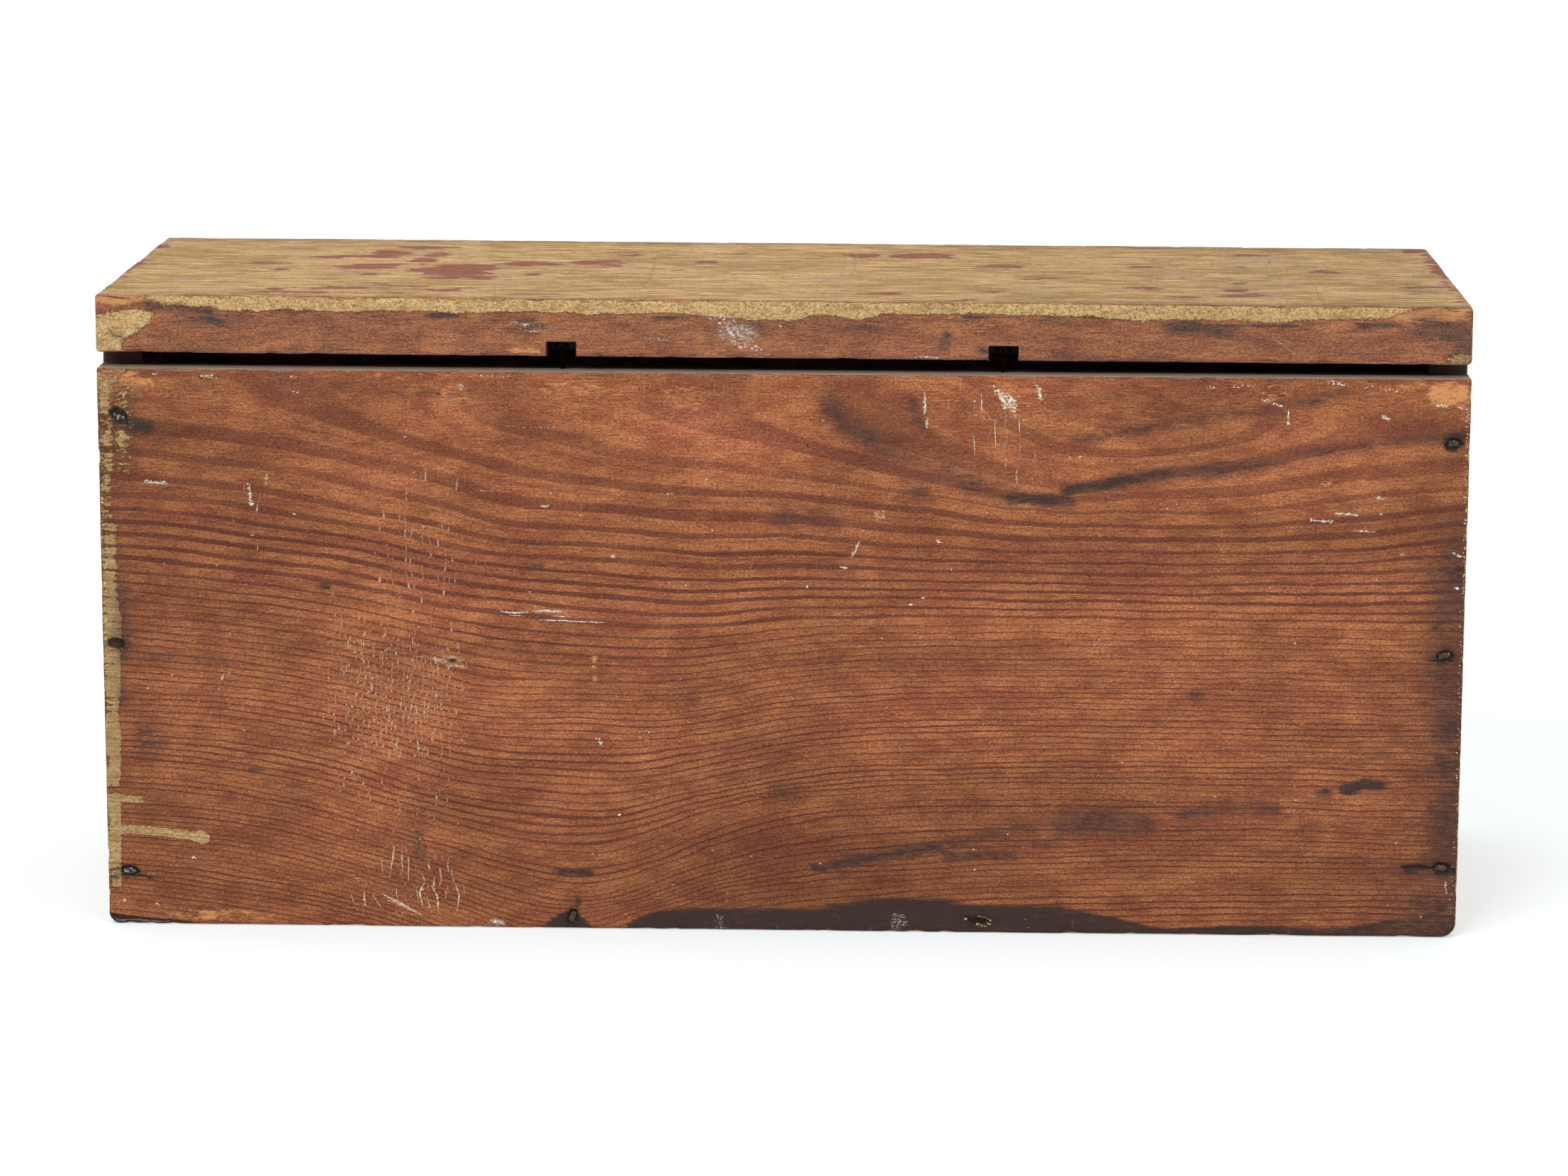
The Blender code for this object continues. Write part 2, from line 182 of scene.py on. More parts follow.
# The back board's grain: growth rings as lines that follow the board from end to end.
# Each is a ring number and points in millimetres from the left end and above the bottom.
BACK_RINGS = [
    (-3, [(325, 165), (326, 160), (322, 155.5), (312, 152.5), (300, 151.3), (288, 152.5), (279, 157),
        (275, 163)]),
    (-2, [(347, 165), (348, 158), (344, 153), (338, 149), (320, 145), (300, 143.3), (280, 145), (270, 149),
        (262, 154), (257, 162)]),
    (-1, [(400, 150), (380, 148.3), (360, 145.3), (340, 141), (320, 138), (300, 135), (285, 133.6),
        (270, 135.3), (256, 139), (240, 143.5), (224, 148), (214, 154), (212, 162)]),
    (0, [(400, 140), (380, 138.5), (360, 135.7), (340, 132.7), (320, 131.2), (300, 131), (280, 130),
        (262, 131.3), (250, 134.5), (233, 137), (216, 141.7), (200, 145), (180, 148.8), (166, 152.5),
        (155, 159), (166, 165.5)]),
    (1, [(400, 134), (380, 133), (360, 130.3), (340, 127.5), (300, 126.8), (270, 127.8), (253, 130.3),
        (233, 132.5), (200, 136.5), (170, 139.3), (150, 142.3), (130, 147), (112, 151.5), (105.5, 159.5),
        (110, 166)]),
    (2, [(400, 128.5), (380, 126.3), (350, 123.7), (300, 122.3), (260, 123.7), (230, 127), (200, 130.5),
        (170, 131.3), (140, 134), (120, 136.8), (100, 142.3), (80, 147.5), (60, 153.3), (44, 158),
        (38, 164)]),
    (3, [(400, 124), (380, 121.3), (350, 119), (300, 118.5), (270, 118.2), (240, 120), (200, 122.8),
        (170, 123.5), (150, 125.3), (130, 126.2), (120, 127.3), (110, 130), (100, 133.5), (80, 138.3),
        (60, 142.3), (30, 146.3), (0, 149)]),
    (4, [(390, 118.6), (350, 115.3), (300, 115), (250, 116), (200, 118.7), (180, 118), (140, 120.4),
        (120, 121.5), (100, 127), (80, 131), (60, 135.8), (30, 139.5), (0, 142.3)]),
    (5, [(390, 114), (350, 111.8), (300, 111.7), (240, 112), (200, 113.7), (180, 113), (150, 115),
        (120, 116.3), (100, 121), (80, 124), (60, 128.3), (30, 132.3), (0, 134.5)]),
    (6, [(390, 110.5), (350, 108.8), (300, 108.2), (200, 109.5), (180, 108.8), (150, 110.8), (120, 112.3),
        (100, 115.5), (80, 119.7), (60, 122.8), (30, 127.3), (0, 129.3)]),
    (8, [(400, 104.2), (350, 102.8), (220, 103.2), (200, 103), (180, 102), (150, 103.3), (120, 105.5),
        (100, 108.2), (80, 112.5), (50, 116.8), (20, 120.3), (0, 121.3)]),
    (10, [(400, 98), (300, 97.7), (250, 98), (200, 97), (175, 94.8), (150, 95.8), (120, 98.7), (100, 100.7),
        (80, 105.3), (50, 109.8), (10, 113.7)]),
    (13, [(400, 90.3), (250, 90.5), (200, 88.5), (180, 85.7), (160, 84.8), (140, 85.7), (120, 87),
        (100, 90.4), (80, 94.8), (50, 99.5), (10, 103)]),
    (18, [(400, 80.8), (300, 81.3), (250, 81), (200, 78), (180, 74.3), (160, 72.7), (140, 73.2),
        (110, 73.7), (100, 76.5), (80, 82), (60, 86), (40, 88.5), (10, 91.2)]),
    (24, [(400, 70.6), (350, 71), (300, 71.4), (250, 71.2), (220, 69.7), (200, 67.7), (180, 63.5),
        (160, 61.3), (140, 62.3), (120, 61.8), (110, 62.3), (100, 64), (80, 69), (60, 73.3), (40, 76),
        (0, 79)]),
    (30, [(400, 60.8), (300, 61.2), (240, 60.5), (200, 56.8), (180, 52.5), (160, 48.3), (150, 47.7),
        (130, 48.9), (110, 49.7), (100, 52), (80, 57.5), (60, 62), (40, 65.2), (0, 66.7)]),
    (35, [(400, 52), (300, 52.3), (240, 50.8), (200, 47.3), (180, 43), (160, 38), (150, 36), (130, 37),
        (110, 38.8), (100, 41), (80, 46.8), (60, 52), (30, 56.3), (0, 57.6)]),
    (40, [(400, 43.8), (300, 44.2), (240, 43.3), (200, 39.5), (180, 34.5), (160, 27), (150, 23.3),
        (140, 23), (120, 25.3), (100, 30), (80, 35.8), (60, 41.4), (30, 46.7), (0, 49)]),
    (47, [(400, 30.5), (300, 31.5), (240, 30.3), (200, 25.5), (180, 20), (160, 12.5), (150, 9.5),
        (140, 8.5), (120, 12), (100, 18.3), (80, 24.7), (60, 30), (30, 35), (0, 37)]),
    (53, [(400, 22.3), (300, 22.4), (240, 19.2), (200, 15.7), (180, 12), (160, 5.5), (145, 0.5), (125, 1),
        (110, 5.5), (90, 12.3), (70, 18.5), (50, 23.3), (20, 27.3), (0, 28.5)]),
    (58, [(400, 13.8), (355, 14.2), (300, 13), (260, 11.8), (230, 9.7), (200, 5.5), (180, 2)]),
    (59, [(95, 1.5), (80, 6), (60, 10.8), (40, 14.6), (20, 17.3), (0, 18.5)]),
    (63, [(80, 0), (60, 5), (40, 8.2), (20, 11), (0, 12.6)])
]
ALONG_GRAIN_SHARE = 0.3      # rings change this much less along the board than across it
RING_SOFTNESS = 0.5          # how freely the field may pass beside a guide point
RING_HEIGHTS = (-15, 185)    # outside these, rings go on as at the limit
POINTS_AT_ONCE = 20000
RING_SLANT = 1.3             # how far the rings climb for each step into the board
HEART_SHIFT = 22             # of a plain board's heart from its middle line, in millimetres
PITH_DEPTH = 26
RING_SPACING = 4.2


def plate(squared):
    """The bending of a thin plate, by the squared distance."""
    return 0.5 * squared * np.log(squared + 1e-9)


class RingField:
    """Ring numbers over a board's face, bent smoothly through the given lines."""

    def __init__(self, lines):
        self.points = np.array([(x * ALONG_GRAIN_SHARE, z) for _, line in lines for x, z in line])
        rings = [ring for ring, line in lines for _ in line]
        count = len(rings)
        apart = ((self.points[:, None] - self.points[None]) ** 2).sum(-1)
        system = np.zeros((count + 3, count + 3))
        system[:count, :count] = plate(apart) + np.eye(count) * RING_SOFTNESS
        system[:count, count] = system[count, :count] = 1
        system[:count, count + 1:] = self.points
        system[count + 1:, :count] = self.points.T
        self.weights = np.linalg.solve(system, np.concatenate([rings, np.zeros(3)]))
        self.count = count

    def at(self, x, z):
        places = np.stack([x * ALONG_GRAIN_SHARE, z], -1)
        rings = np.zeros(len(places))
        for first in range(0, len(places), POINTS_AT_ONCE):
            part = places[first:first + POINTS_AT_ONCE]
            apart = ((part[:, None] - self.points[None]) ** 2).sum(-1)
            plane = self.weights[self.count] + part @ self.weights[self.count + 1:]
            rings[first:first + POINTS_AT_ONCE] = plate(apart) @ self.weights[:self.count] + plane
        return rings


BACK_FIELD = RingField(BACK_RINGS)


def back_rings(points):
    """Ring number on the back board, and how many rings there are to a millimetre."""
    x = (points[:, 0] - LEFT_X) / MM
    z = points[:, 2] / MM + RING_SLANT * (points[:, 1] - REAR_Y) / MM
    z = np.clip(z, *RING_HEIGHTS)
    rings = BACK_FIELD.at(x, z)
    along = (BACK_FIELD.at(x + 3, z) - rings) / 3
    return rings, np.hypot(along, BACK_FIELD.at(x, z + 1) - rings)


def plain_rings(points, along, across, depth, heart, pith, spacing, seed):
    """Ring number on a flat-sawn board whose grain runs along one axis, and rings to a millimetre."""
    line = on_line(points[:, along] / MM)
    sway = (rough(line, (150, 1, 1), seed) - 0.5) * 34
    dive = (rough(line, (110, 1, 1), seed + 5) - 0.5) * 30
    side = points[:, across] / MM - heart - sway
    down = points[:, depth] / MM + pith + dive
    wave = (rough(points / MM, (60, 60, 60), seed + 9, 2) - 0.5) * 3.0
    return (np.hypot(side, down) + wave) / spacing, np.full(len(points), 1 / spacing)


# Skins of boards

def grid_lines(breaks, step, windows=()):
    """Places from the first break to the last, closer together near each break and in each window."""
    lines = [breaks[0]]
    for start, end in zip(breaks, breaks[1:]):
        run = [start]
        while run[-1] < end:
            here = run[-1]
            size = min(step, EDGE_STEP + EDGE_GROWTH * min(here - start, abs(end - here)))
            for middle, reach, fine in windows:
                if abs(here - middle) < reach:
                    size = min(size, fine)
            run.append(here + size)
        stretch = (end - start) / (run[-1] - start)
        lines += [start + (place - start) * stretch for place in run[1:-1]] + [end]
    return np.array(lines)


def skin(grids, solid):
    """The outer faces of the solid cells of a block of cells, as points and quads."""
    counts = [len(grid) for grid in grids]
    padded = np.pad(solid, 1).astype(np.int8)
    quads = []
    for axis in range(3):
        right, up = (axis + 1) % 3, (axis + 2) % 3
        change = np.diff(padded, axis=axis)
        trim = [slice(1, -1)] * 3
        trim[axis] = slice(None)
        change = change[tuple(trim)]
        for sign in (-1, 1):
            base = np.argwhere(change == sign)
            corners = []
            for step_right, step_up in ((0, 0), (1, 0), (1, 1), (0, 1)):
                corner = base.copy()
                corner[:, right] += step_right
                corner[:, up] += step_up
                corners.append((corner[:, 0] * counts[1] + corner[:, 1]) * counts[2] + corner[:, 2])
            if sign > 0:
                corners.reverse()
            quads.append(np.stack(corners, -1))
    quads = np.concatenate(quads)
    used, quads = np.unique(quads, return_inverse=True)
    quads = quads.reshape(-1, 4)
    places = np.stack(np.unravel_index(used, counts), -1)
    points = np.stack([grids[axis][places[:, axis]] for axis in range(3)], -1)
    return points, quads


def mesh_object(name, points, quads):
    """A smooth object of quads from arrays."""
    mesh = bpy.data.meshes.new(name)
    mesh.vertices.add(len(points))
    mesh.vertices.foreach_set("co", points.astype(np.float32).ravel())
    mesh.loops.add(quads.size)
    mesh.loops.foreach_set("vertex_index", quads.astype(np.int32).ravel())
    mesh.polygons.add(len(quads))
    mesh.polygons.foreach_set("loop_start", np.arange(0, quads.size, 4, dtype=np.int32))
    mesh.update(calc_edges=True)
    mesh.shade_smooth()
    return place_object(name, mesh)


def store(obj, name, *columns):
    """Keeps three numbers for each point on the mesh, for its material."""
    attribute = obj.data.attributes.new(name, "FLOAT_VECTOR", "POINT")
    attribute.data.foreach_set("vector", np.stack(columns, -1).astype(np.float32).ravel())


def rounded(points, low, high, radius):
    """Moves points near a box's edges onto an edge round of the given radius at each point."""
    radius = radius[:, None]
    inner = np.clip(points, low + radius, high - radius)
    away = points - inner
    reach = np.linalg.norm(away, axis=1, keepdims=True)
    outside = (np.abs(points - low) < 1e-7).any(1) | (np.abs(points - high) < 1e-7).any(1)
    moved = inner + away * radius / np.maximum(reach, 1e-9)
    keep = outside & (reach[:, 0] > 1e-9)
    return np.where(keep[:, None], moved, points)


def edge_distance(points, low, high):
    """Distance along the face to the nearest edge of a box, in millimetres."""
    planes = np.sort(np.concatenate([np.abs(points - low), np.abs(high - points)], 1), axis=1)
    return planes[:, 1] / MM


def read_points(obj, kind="co"):
    """The places or the normals of a mesh, as rows of three."""
    values = np.zeros(len(obj.data.vertices) * 3, np.float32)
    obj.data.vertices.foreach_get(kind, values)
    return values.reshape(-1, 3)


def move_points(obj, points):
    obj.data.vertices.foreach_set("co", points.astype(np.float32).ravel())
    obj.data.update()


def on_line(x):
    """Points along a line, for noise that changes along it only."""
    return np.stack([x, 0 * x, 0 * x], -1)


def on_face(x, z):
    """Points on a board's face, for noise that changes over it only."""
    return np.stack([x, z, 0 * x], -1)


def place_object(name, mesh):
    made = bpy.data.objects.new(name, mesh)
    bpy.context.scene.collection.objects.link(made)
    return made


def object_from(bm, name, material):
    """Turns a bmesh into a smooth object of one material."""
    bmesh.ops.recalc_face_normals(bm, faces=bm.faces)
    mesh = bpy.data.meshes.new(name)
    bm.to_mesh(mesh)
    bm.free()
    mesh.shade_smooth()
    mesh.materials.append(material)
    return place_object(name, mesh)


def lean(points, amount):
    """How much higher the left end of a long board is, at each point."""
    return amount * (RIGHT_X - points[:, 0]) / LENGTH


def lower_right_end(points, amount, top):
    """Lowers a board's upper edge towards its right end, where it lies lower by the given amount."""
    points[:, 2] -= (amount - lean(points, amount)) * points[:, 2] / top


# Nails seen in each board: the axis that they are driven along, and which way they look
NAIL_DIRECTIONS = {"back": (1, -1), "front": (1, 1), "left": (0, -1), "right": (0, 1)}
NAIL_NODES = sorted(name for name in frame["nodes"] if "_nail_" in name)
# Tilt in degrees, depth of the head under the face, size of its hole, the hole's shift up, shine and
# brownness
NAIL_LOOKS = {
    "back_nail_left_1": (-17, 0.35, 1.05, 0.75, 0.9, 0.1),
    "back_nail_left_2": (-7, 0.95, 0.95, 0.0, 0.1, 0.5),
    "back_nail_left_3": (-10, 0.30, 1.00, 0.1, 1.0, 0.3),
    "back_nail_right_1": (-2, 0.30, 1.00, 0.35, 0.5, 0.4),
    "back_nail_right_2": (16, 0.30, 0.95, 0.1, 0.6, 0.7),
    "back_nail_right_3": (-3, 0.35, 1.05, 0.1, 0.15, 1.0),
    "back_nail_lower_1": (72, 0.30, 0.90, 0.0, 0.05, 1.0),
    "back_nail_lower_2": (10, 1.00, 0.85, 0.0, 0.0, 0.9),
}


def nail_look(node):
    """The look of one nail, chosen by its number where it isn't in the table."""
    number = NAIL_NODES.index(node)
    spare = (30 * (float(lattice(number, 2, 3, 4)) - 0.5), 0.4, 1.0, 0.1,
             float(lattice(number, 5, 6, 7)) * 0.7, float(lattice(number, 8, 9, 1)))
    return NAIL_LOOKS.get(node, spare)


def nail_places(board):
    """The node of each nail in one board, with its head's middle: place along the board and height."""
    axis = 1 - NAIL_DIRECTIONS[board][0]
    places = []
    for node in NAIL_NODES:
        if node.startswith(board + "_nail"):
            low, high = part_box(node)
            places.append((node, (low[axis] + high[axis]) / 2, (low.z + high.z) / 2))
    return places


# Splits beside the back's nails, in millimetres from the left end and above the bottom: path and half width
NAIL_SPLITS = [
    ([(0.5, 16.4), (4, 17.2)], 0.25), ([(1, 14.6), (6, 14.9), (8.5, 15.2)], 0.22),
    ([(9, 15), (13, 14.6)], 0.2), ([(383.5, 21.5), (388, 21.7), (392, 21.3)], 0.4),
    ([(396, 21.4), (400.3, 20.2)], 0.45), ([(387, 146.7), (397, 146.4)], 0.28),
    ([(396, 148.4), (400, 148.2)], 0.25), ([(390.5, 84), (394, 83.4), (397, 84)], 0.22),
    ([(255.5, 4.3), (258, 3.9)], 0.75)
]


def nail_crush(points, board, node, along, height, seed):
    """How far inside the crushed rim of one nail each point is, and the iron stain round it."""
    tilt, _, size, shift, _, _ = nail_look(node)
    turn = math.radians(tilt)
    side = (points[:, 1 - NAIL_DIRECTIONS[board][0]] - along) / MM
    up = (points[:, 2] - height) / MM
    x = side * math.cos(turn) + up * math.sin(turn)
    z = up * math.cos(turn) - side * math.sin(turn) - shift
    ragged = size * (1 + 0.6 * (noise(points, (1.2 * MM, 1.2 * MM, 0.8 * MM), seed) - 0.5))
    rim = np.hypot(x / (BOWL_REACH[0] * ragged), z / (BOWL_REACH[1] * ragged))
    halo = 0.9 * np.exp(-(np.hypot(x / HALO_REACH[0], z / HALO_REACH[1])) ** 1.5)
    return smooth(rim, 1.10, 0.86), halo


def nail_dents(points, board, face):
    """Depth of the crushed wood and of the splits round each nail head, and the iron stain."""
    depth = np.zeros(len(points))
    iron = np.zeros(len(points))
    for number, (node, along, height) in enumerate(nail_places(board)):
        bowl, halo = nail_crush(points, board, node, along, height, 40 + number)
        depth = np.maximum(depth, BOWL_DEPTH * bowl * face)
        iron = np.maximum(iron, np.maximum(halo, bowl) * face)
    if board == "back":
        x = (points[:, 0] - LEFT_X) / MM
        z = points[:, 2] / MM
        for path, half in NAIL_SPLITS:
            away = path_distance(x, z, path)
            depth = np.maximum(depth, SPLIT_DEPTH * smooth(away, half * 1.6, half * 0.4) * face)
            iron = np.maximum(iron, 0.8 * np.exp(-(away / (half * 1.4)) ** 2) * face)
    return depth * MM, iron


def worn_case_bottom(points):
    """Rounds the case's two worn lower corners on a long board."""
    moved = points.copy()
    for end, inward, radius in WORN_CORNERS:
        away = np.stack([radius - inward * (moved[:, 0] - end), radius - moved[:, 2]], -1)
        inside = (away > 0).all(1)
        circle = np.maximum(np.linalg.norm(away, axis=1), 1e-9)
        scale = np.where(inside, away.max(1) / circle, 1)
        moved[:, 0] = np.where(inside, end + inward * (radius - away[:, 0] * scale), moved[:, 0])
        moved[:, 2] = np.where(inside, radius - away[:, 1] * scale, moved[:, 2])
    return moved


# What the back board's face shows, in millimetres from its left end and above its bottom

# Upper edges of the water stain and of the worn foot, which is recessed and stained near black as painted
# shade for the shadowed hollow under it: place and height
BOTTOM_STAIN = [
    (0, -9), (126, -6), (129, 0.5), (134, 4.2), (138, 5.5), (142, 3), (145, 0), (149, -4), (153, 0),
    (157, 3), (163, 5.5), (175, 6.7), (200, 6.8), (214, 7.5), (219, 9.2), (235, 10.2), (248, 10),
    (256, 8.8), (282, 8.2), (290, 6.8), (300, 5), (308, 3), (315, 1.8), (330, 3), (345, 3.0), (362, 2.8),
    (370, 3.4), (378, 5), (386, 6.3), (400, 7.5)
]
WORN_FOOT_PAINTED_SHADE = [(0, 3.6), (3, 2.9), (10, 2.0), (22, 0.8), (28, -0.5), (400, -0.5)]
# Broad stains at the back's right end: strength, where they rise along it and where they fade upward
SIDE_STAINS = [(0.58, (378, 398), (108, 150)), (0.50, (356, 396), (16, 34))]
# Dark streaks and smudges: path, half width and strength
DARK_STREAKS = [
    ([(286, 148.5), (300, 151), (312, 153), (326, 155.5), (340, 157.5), (352, 160), (363, 163)], 1.9, 0.44),
    ([(266, 131.5), (284, 130.4)], 1.5, 0.72), ([(283, 133.8), (292, 134.6), (304, 137.3)], 1.5, 0.74),
    ([(300, 137), (320, 140), (330, 140), (340, 142.3)], 2.2, 0.58),
    ([(340, 142.3), (352, 145), (372, 148), (391, 150.5)], 1.9, 0.42),
    ([(228, 146), (246, 139), (258, 134.5), (268, 132)], 3.6, 0.4), ([(236, 134), (242, 131.5)], 2.4, 0.45),
    ([(6, 84), (14, 82), (36, 80)], 2.2, 0.34), ([(200, 125), (216, 124.5)], 3.2, 0.42),
    ([(214, 159), (218, 152), (226, 148)], 3.4, 0.5), ([(238, 160), (241, 152)], 1.6, 0.5),
    ([(210, 19.5), (213, 19.3)], 1.1, 0.85),
    ([(216, 20.2), (225, 22.5), (237, 25), (247, 26.5)], 1.6, 0.62),
    ([(247, 26.5), (256, 29), (268, 31.5), (276, 32.3)], 2.2, 0.45),
    ([(250, 22.8), (262, 24), (269, 24)], 1.6, 0.5), ([(275, 27), (283, 28.5)], 1.0, 0.5),
    ([(283, 33), (296, 34), (307, 33.5)], 3.6, 0.52),
    ([(319, 37), (330, 38.5), (338, 40), (346, 38)], 2.4, 0.5), ([(358.5, 43.4), (361, 43.6)], 0.9, 0.8),
    ([(366, 44.5), (372, 46.5), (377, 46.2)], 1.4, 0.85), ([(372, 54), (378, 57), (381, 62)], 2.4, 0.35),
    ([(198, 42.8), (204, 42)], 2.6, 0.42), ([(320.5, 72.5), (323, 73)], 1.3, 0.55),
    ([(172, 69), (175, 69.3)], 0.9, 0.55), ([(134, 17.5), (144, 17.3)], 0.8, 0.85),
    ([(140, 8.5), (140.3, 8.4)], 0.8, 0.9), ([(93, 29), (93, 22)], 1.8, 0.5),
    ([(56, 42.5), (61, 42)], 1.0, 0.5), ([(31, 66.2), (37, 66)], 0.9, 0.45),
    ([(43, 47.6), (47, 47.3)], 0.8, 0.65), ([(65, 103), (66.5, 103.5)], 1.6, 0.6),
    ([(91.7, 42.7), (92, 42.6)], 0.7, 0.75), ([(127, 110.2), (130, 110.1)], 0.8, 0.7),
    ([(63, 22), (63.4, 22)], 0.8, 0.5), ([(71, 104), (74, 110)], 1.2, 0.35),
    ([(10, 151), (15, 149.6)], 2.0, 0.7), ([(7, 160), (12, 161)], 2.6, 0.45),
    ([(6, 100), (6, 80)], 2.6, 0.5), ([(24, 163), (60, 163), (98, 161), (108, 160)], 2.6, 0.28),
    ([(296, 164), (312, 160)], 4.0, 0.2), ([(385, 20.6), (390, 21.8)], 0.9, 0.9),
    ([(396, 21), (400, 20.3)], 0.9, 0.9), ([(393, 150), (399, 151)], 1.4, 0.7)
]
# Where short pale ticks cross the grain, and chalky rubbed places: middle, reach and strength
SCUFF_PATCHES = [
    ((88, 92), (24, 22), 0.4), ((96, 118), (15, 22), 0.34), ((86, 70), (25, 20), 1.0),
    ((90, 16), (17, 17), 0.4), ((86, 42), (22, 12), 0.3), ((45, 125), (10, 20), 0.12),
    ((266, 150), (14, 15), 0.5), ((30, 75), (12, 10), 0.15)
]
PALE_PATCHES = [
    ((235, 2.6), (3.0, 4.2), 0.62), ((182, 1.6), (3, 3.4), 0.5), ((287, 3.5), (1, 2.2), 0.5),
    ((273, 3.5), (0.9, 3), 0.45), ((116, 1.6), (3, 2), 0.8)
]
# Places where the back is worn to lighter, warmer wood: middle, reach and strength
WARM_PATCHES = [
    ((393, 163.0), (8.4, 4.2), 0.92), ((5, 163), (13, 6), 0.8), ((49.5, 134.5), (0.9, 1.3), 1.0),
    ((229, 125.5), (2.0, 1.6), 0.7), ((206, 126), (1.0, 1.2), 0.7), ((145.6, 82), (1.0, 1.6), 0.9),
    ((16.3, 163), (1.4, 1.0), 0.8), ((159.6, 53), (0.7, 6), 0.55), ((160, 58.3), (2.2, 0.8), 0.8),
    ((145.8, 79), (0.9, 9), 0.5), ((106, 160), (8, 4), 0.5), ((140, 162), (14, 4), 0.45),
    ((172, 160), (9, 5), 0.4), ((33, 3), (24, 2.4), 0.5), ((30, 3), (4, 2), 0.8),
    ((95, 165.5), (28, 1.4), 0.35), ((343, 162), (7, 4), 0.4), ((366, 136), (12, 3), 0.35),
    ((383, 165), (8, 1.7), 0.5), ((398.5, 157.5), (3, 4), 0.42)
]
# Broad light and dark parts of the back: middle, reach and change
BACK_SHADES = [
    ((8, 90), (14, 80), -0.22), ((392, 85), (16, 75), -0.2), ((30, 150), (30, 18), -0.2),
    ((224, 155), (14, 12), -0.2), ((310, 160), (28, 14), -0.1), ((60, 100), (40, 25), -0.08),
    ((186, 149), (32, 12), 0.55), ((340, 152), (40, 12), 0.08), ((86, 86), (26, 26), 0.12),
    ((345, 22), (60, 22), -0.2), ((200, 22), (66, 24), -0.33), ((40, 25), (40, 25), -0.05),
    ((170, 100), (60, 25), 0.02), ((330, 95), (50, 35), 0.05), ((200, 82), (40, 22), -0.1),
    ((40, 82), (24, 20), -0.05), ((130, 150), (40, 15), 0.04)
]
SOFT_RINGS = [((300, 158), (44, 14), 1.0)]      # round the knot, where the rings run flat
# Runs of the paint that laps round the left end: path and half width
DRIPS = [
    ([(2.5, 38.3), (10.4, 38.1)], 1.15), ([(2.5, 29.2), (14, 28.6), (28.5, 27)], 1.35),
    ([(27.8, 27), (28.9, 26.7)], 2.05)
]
# That paint's width, how firmly it holds and how pale it is, each with the height
STRIP_WIDTH = [
    (0, 3.8), (11, 4.2), (20, 4.4), (40, 4.5), (58, 5.2), (64, 4.4), (69, 5.2), (84, 5.6), (92, 6.2),
    (100, 4.9), (120, 5.0), (126, 3.2), (140, 4.2), (150, 4.7), (160, 3.8), (168, 9.5)
]
STRIP_HOLD = [
    (0, 1.8), (30, 2.4), (62, 1.8), (110, 1.0), (122, 0.4), (142, 0.4), (152, 0.8), (160, 0.8), (168, 0.1)
]
STRIP_GILT = [(0, 0.8), (26, 0.9), (31, 0.5), (45, 0.35), (70, 0.5), (100, 0.4), (168, 0.5)]
STRIP_BREAK = (41.3, 1.5)       # height and reach of the bare place across the strip
STRIP_FOOT = 10.5
STRIP_REACH = 5.6               # beyond this, paint on the back lies thick
OLD_HOLE = (103.3, 80.8)        # middle of the back's old nail hole


def back_paint(x, z):
    """Depth inside the ochre paint that laps round the left end, in millimetres."""
    width = np.interp(z, *zip(*STRIP_WIDTH))
    firm = 1 + 4 * smooth(z, 104, 66)
    strip = np.minimum((width - x) * firm, (z - STRIP_FOOT) * 0.6)
    strip = np.minimum(strip, np.interp(z, *zip(*STRIP_HOLD)))
    strip -= 3.4 * np.exp(-((z - STRIP_BREAK[0]) / STRIP_BREAK[1]) ** 2)
    strip -= 2.0 * np.exp(-np.maximum(x, 0) / 0.9) * smooth(z, 44, 100)
    flaking = smooth(rough(on_face(x, z), (1.1, 4.5, FLAT), 93), 0.36, 0.62)
    strip -= 3.6 * np.exp(-np.maximum(x, 0) / 1.4) * smooth(z, 82, 70) * flaking
    thin_patch = inside_ellipse(x, z, (7.5, 148), (2.6, 11)) * 0.4 - 0.3
    paint = np.maximum(strip, thin_patch)
    for path, reach in DRIPS:
        paint = np.maximum(paint, 6.0 * (reach - path_distance(x, z, path)))
    crumbs = 0.9 - (400.6 - x) - 0.5 * smooth(z, 128, 150)
    return np.maximum(paint, crumbs)


def back_shade(x, z):
    """Broad light and dark parts, as a share of the wood's own brightness."""
    shade = np.ones(len(x))
    for middle, reach, change in BACK_SHADES:
        away = ((x - middle[0]) / reach[0]) ** 2 + ((z - middle[1]) / reach[1]) ** 2
        shade += change * np.exp(-away)
    return shade


def back_stain_and_shade(x, z):
    """Strength of the dark water stain and streaks, from 0 to 1, and painted shade of 3 on the worn foot at
    the left end.
    """
    line = np.interp(x, *zip(*BOTTOM_STAIN))
    stain_and_shade = smooth(line - z, -0.6, 0.6) * (1 - 0.25 * smooth(x, 330, 390))
    for strength, along, up in SIDE_STAINS:
        stain_and_shade = np.maximum(stain_and_shade, strength * smooth(x, *along) * (1 - smooth(z, *up)))
    cloudy = smooth(rough(on_face(x, z), (14, 18, FLAT), 91), 0.40, 0.66)
    beside = smooth(x, 2, 5) * (1 - smooth(x, 8, 26)) * smooth(z, 30, 50)
    stain_and_shade = np.maximum(stain_and_shade, 0.55 * beside * cloudy * (1 - smooth(z, 95, 150)))
    # Painted shade: the worn foot is stained near black for the shadowed hollow under it
    worn = np.interp(x, *zip(*WORN_FOOT_PAINTED_SHADE)) - z
    stain_and_shade = np.maximum(stain_and_shade, 3.0 * smooth(worn, -0.2, 0.3))
    for path, half, strength in DARK_STREAKS:
        away = path_distance(x, z, path)
        streak = 1.1 * strength * np.exp(-(away / (half * 1.45)) ** 2)
        halo = 0.28 * strength * np.exp(-away / (half * 2.6))
        stain_and_shade = np.maximum(stain_and_shade, np.maximum(streak, halo))
    return stain_and_shade


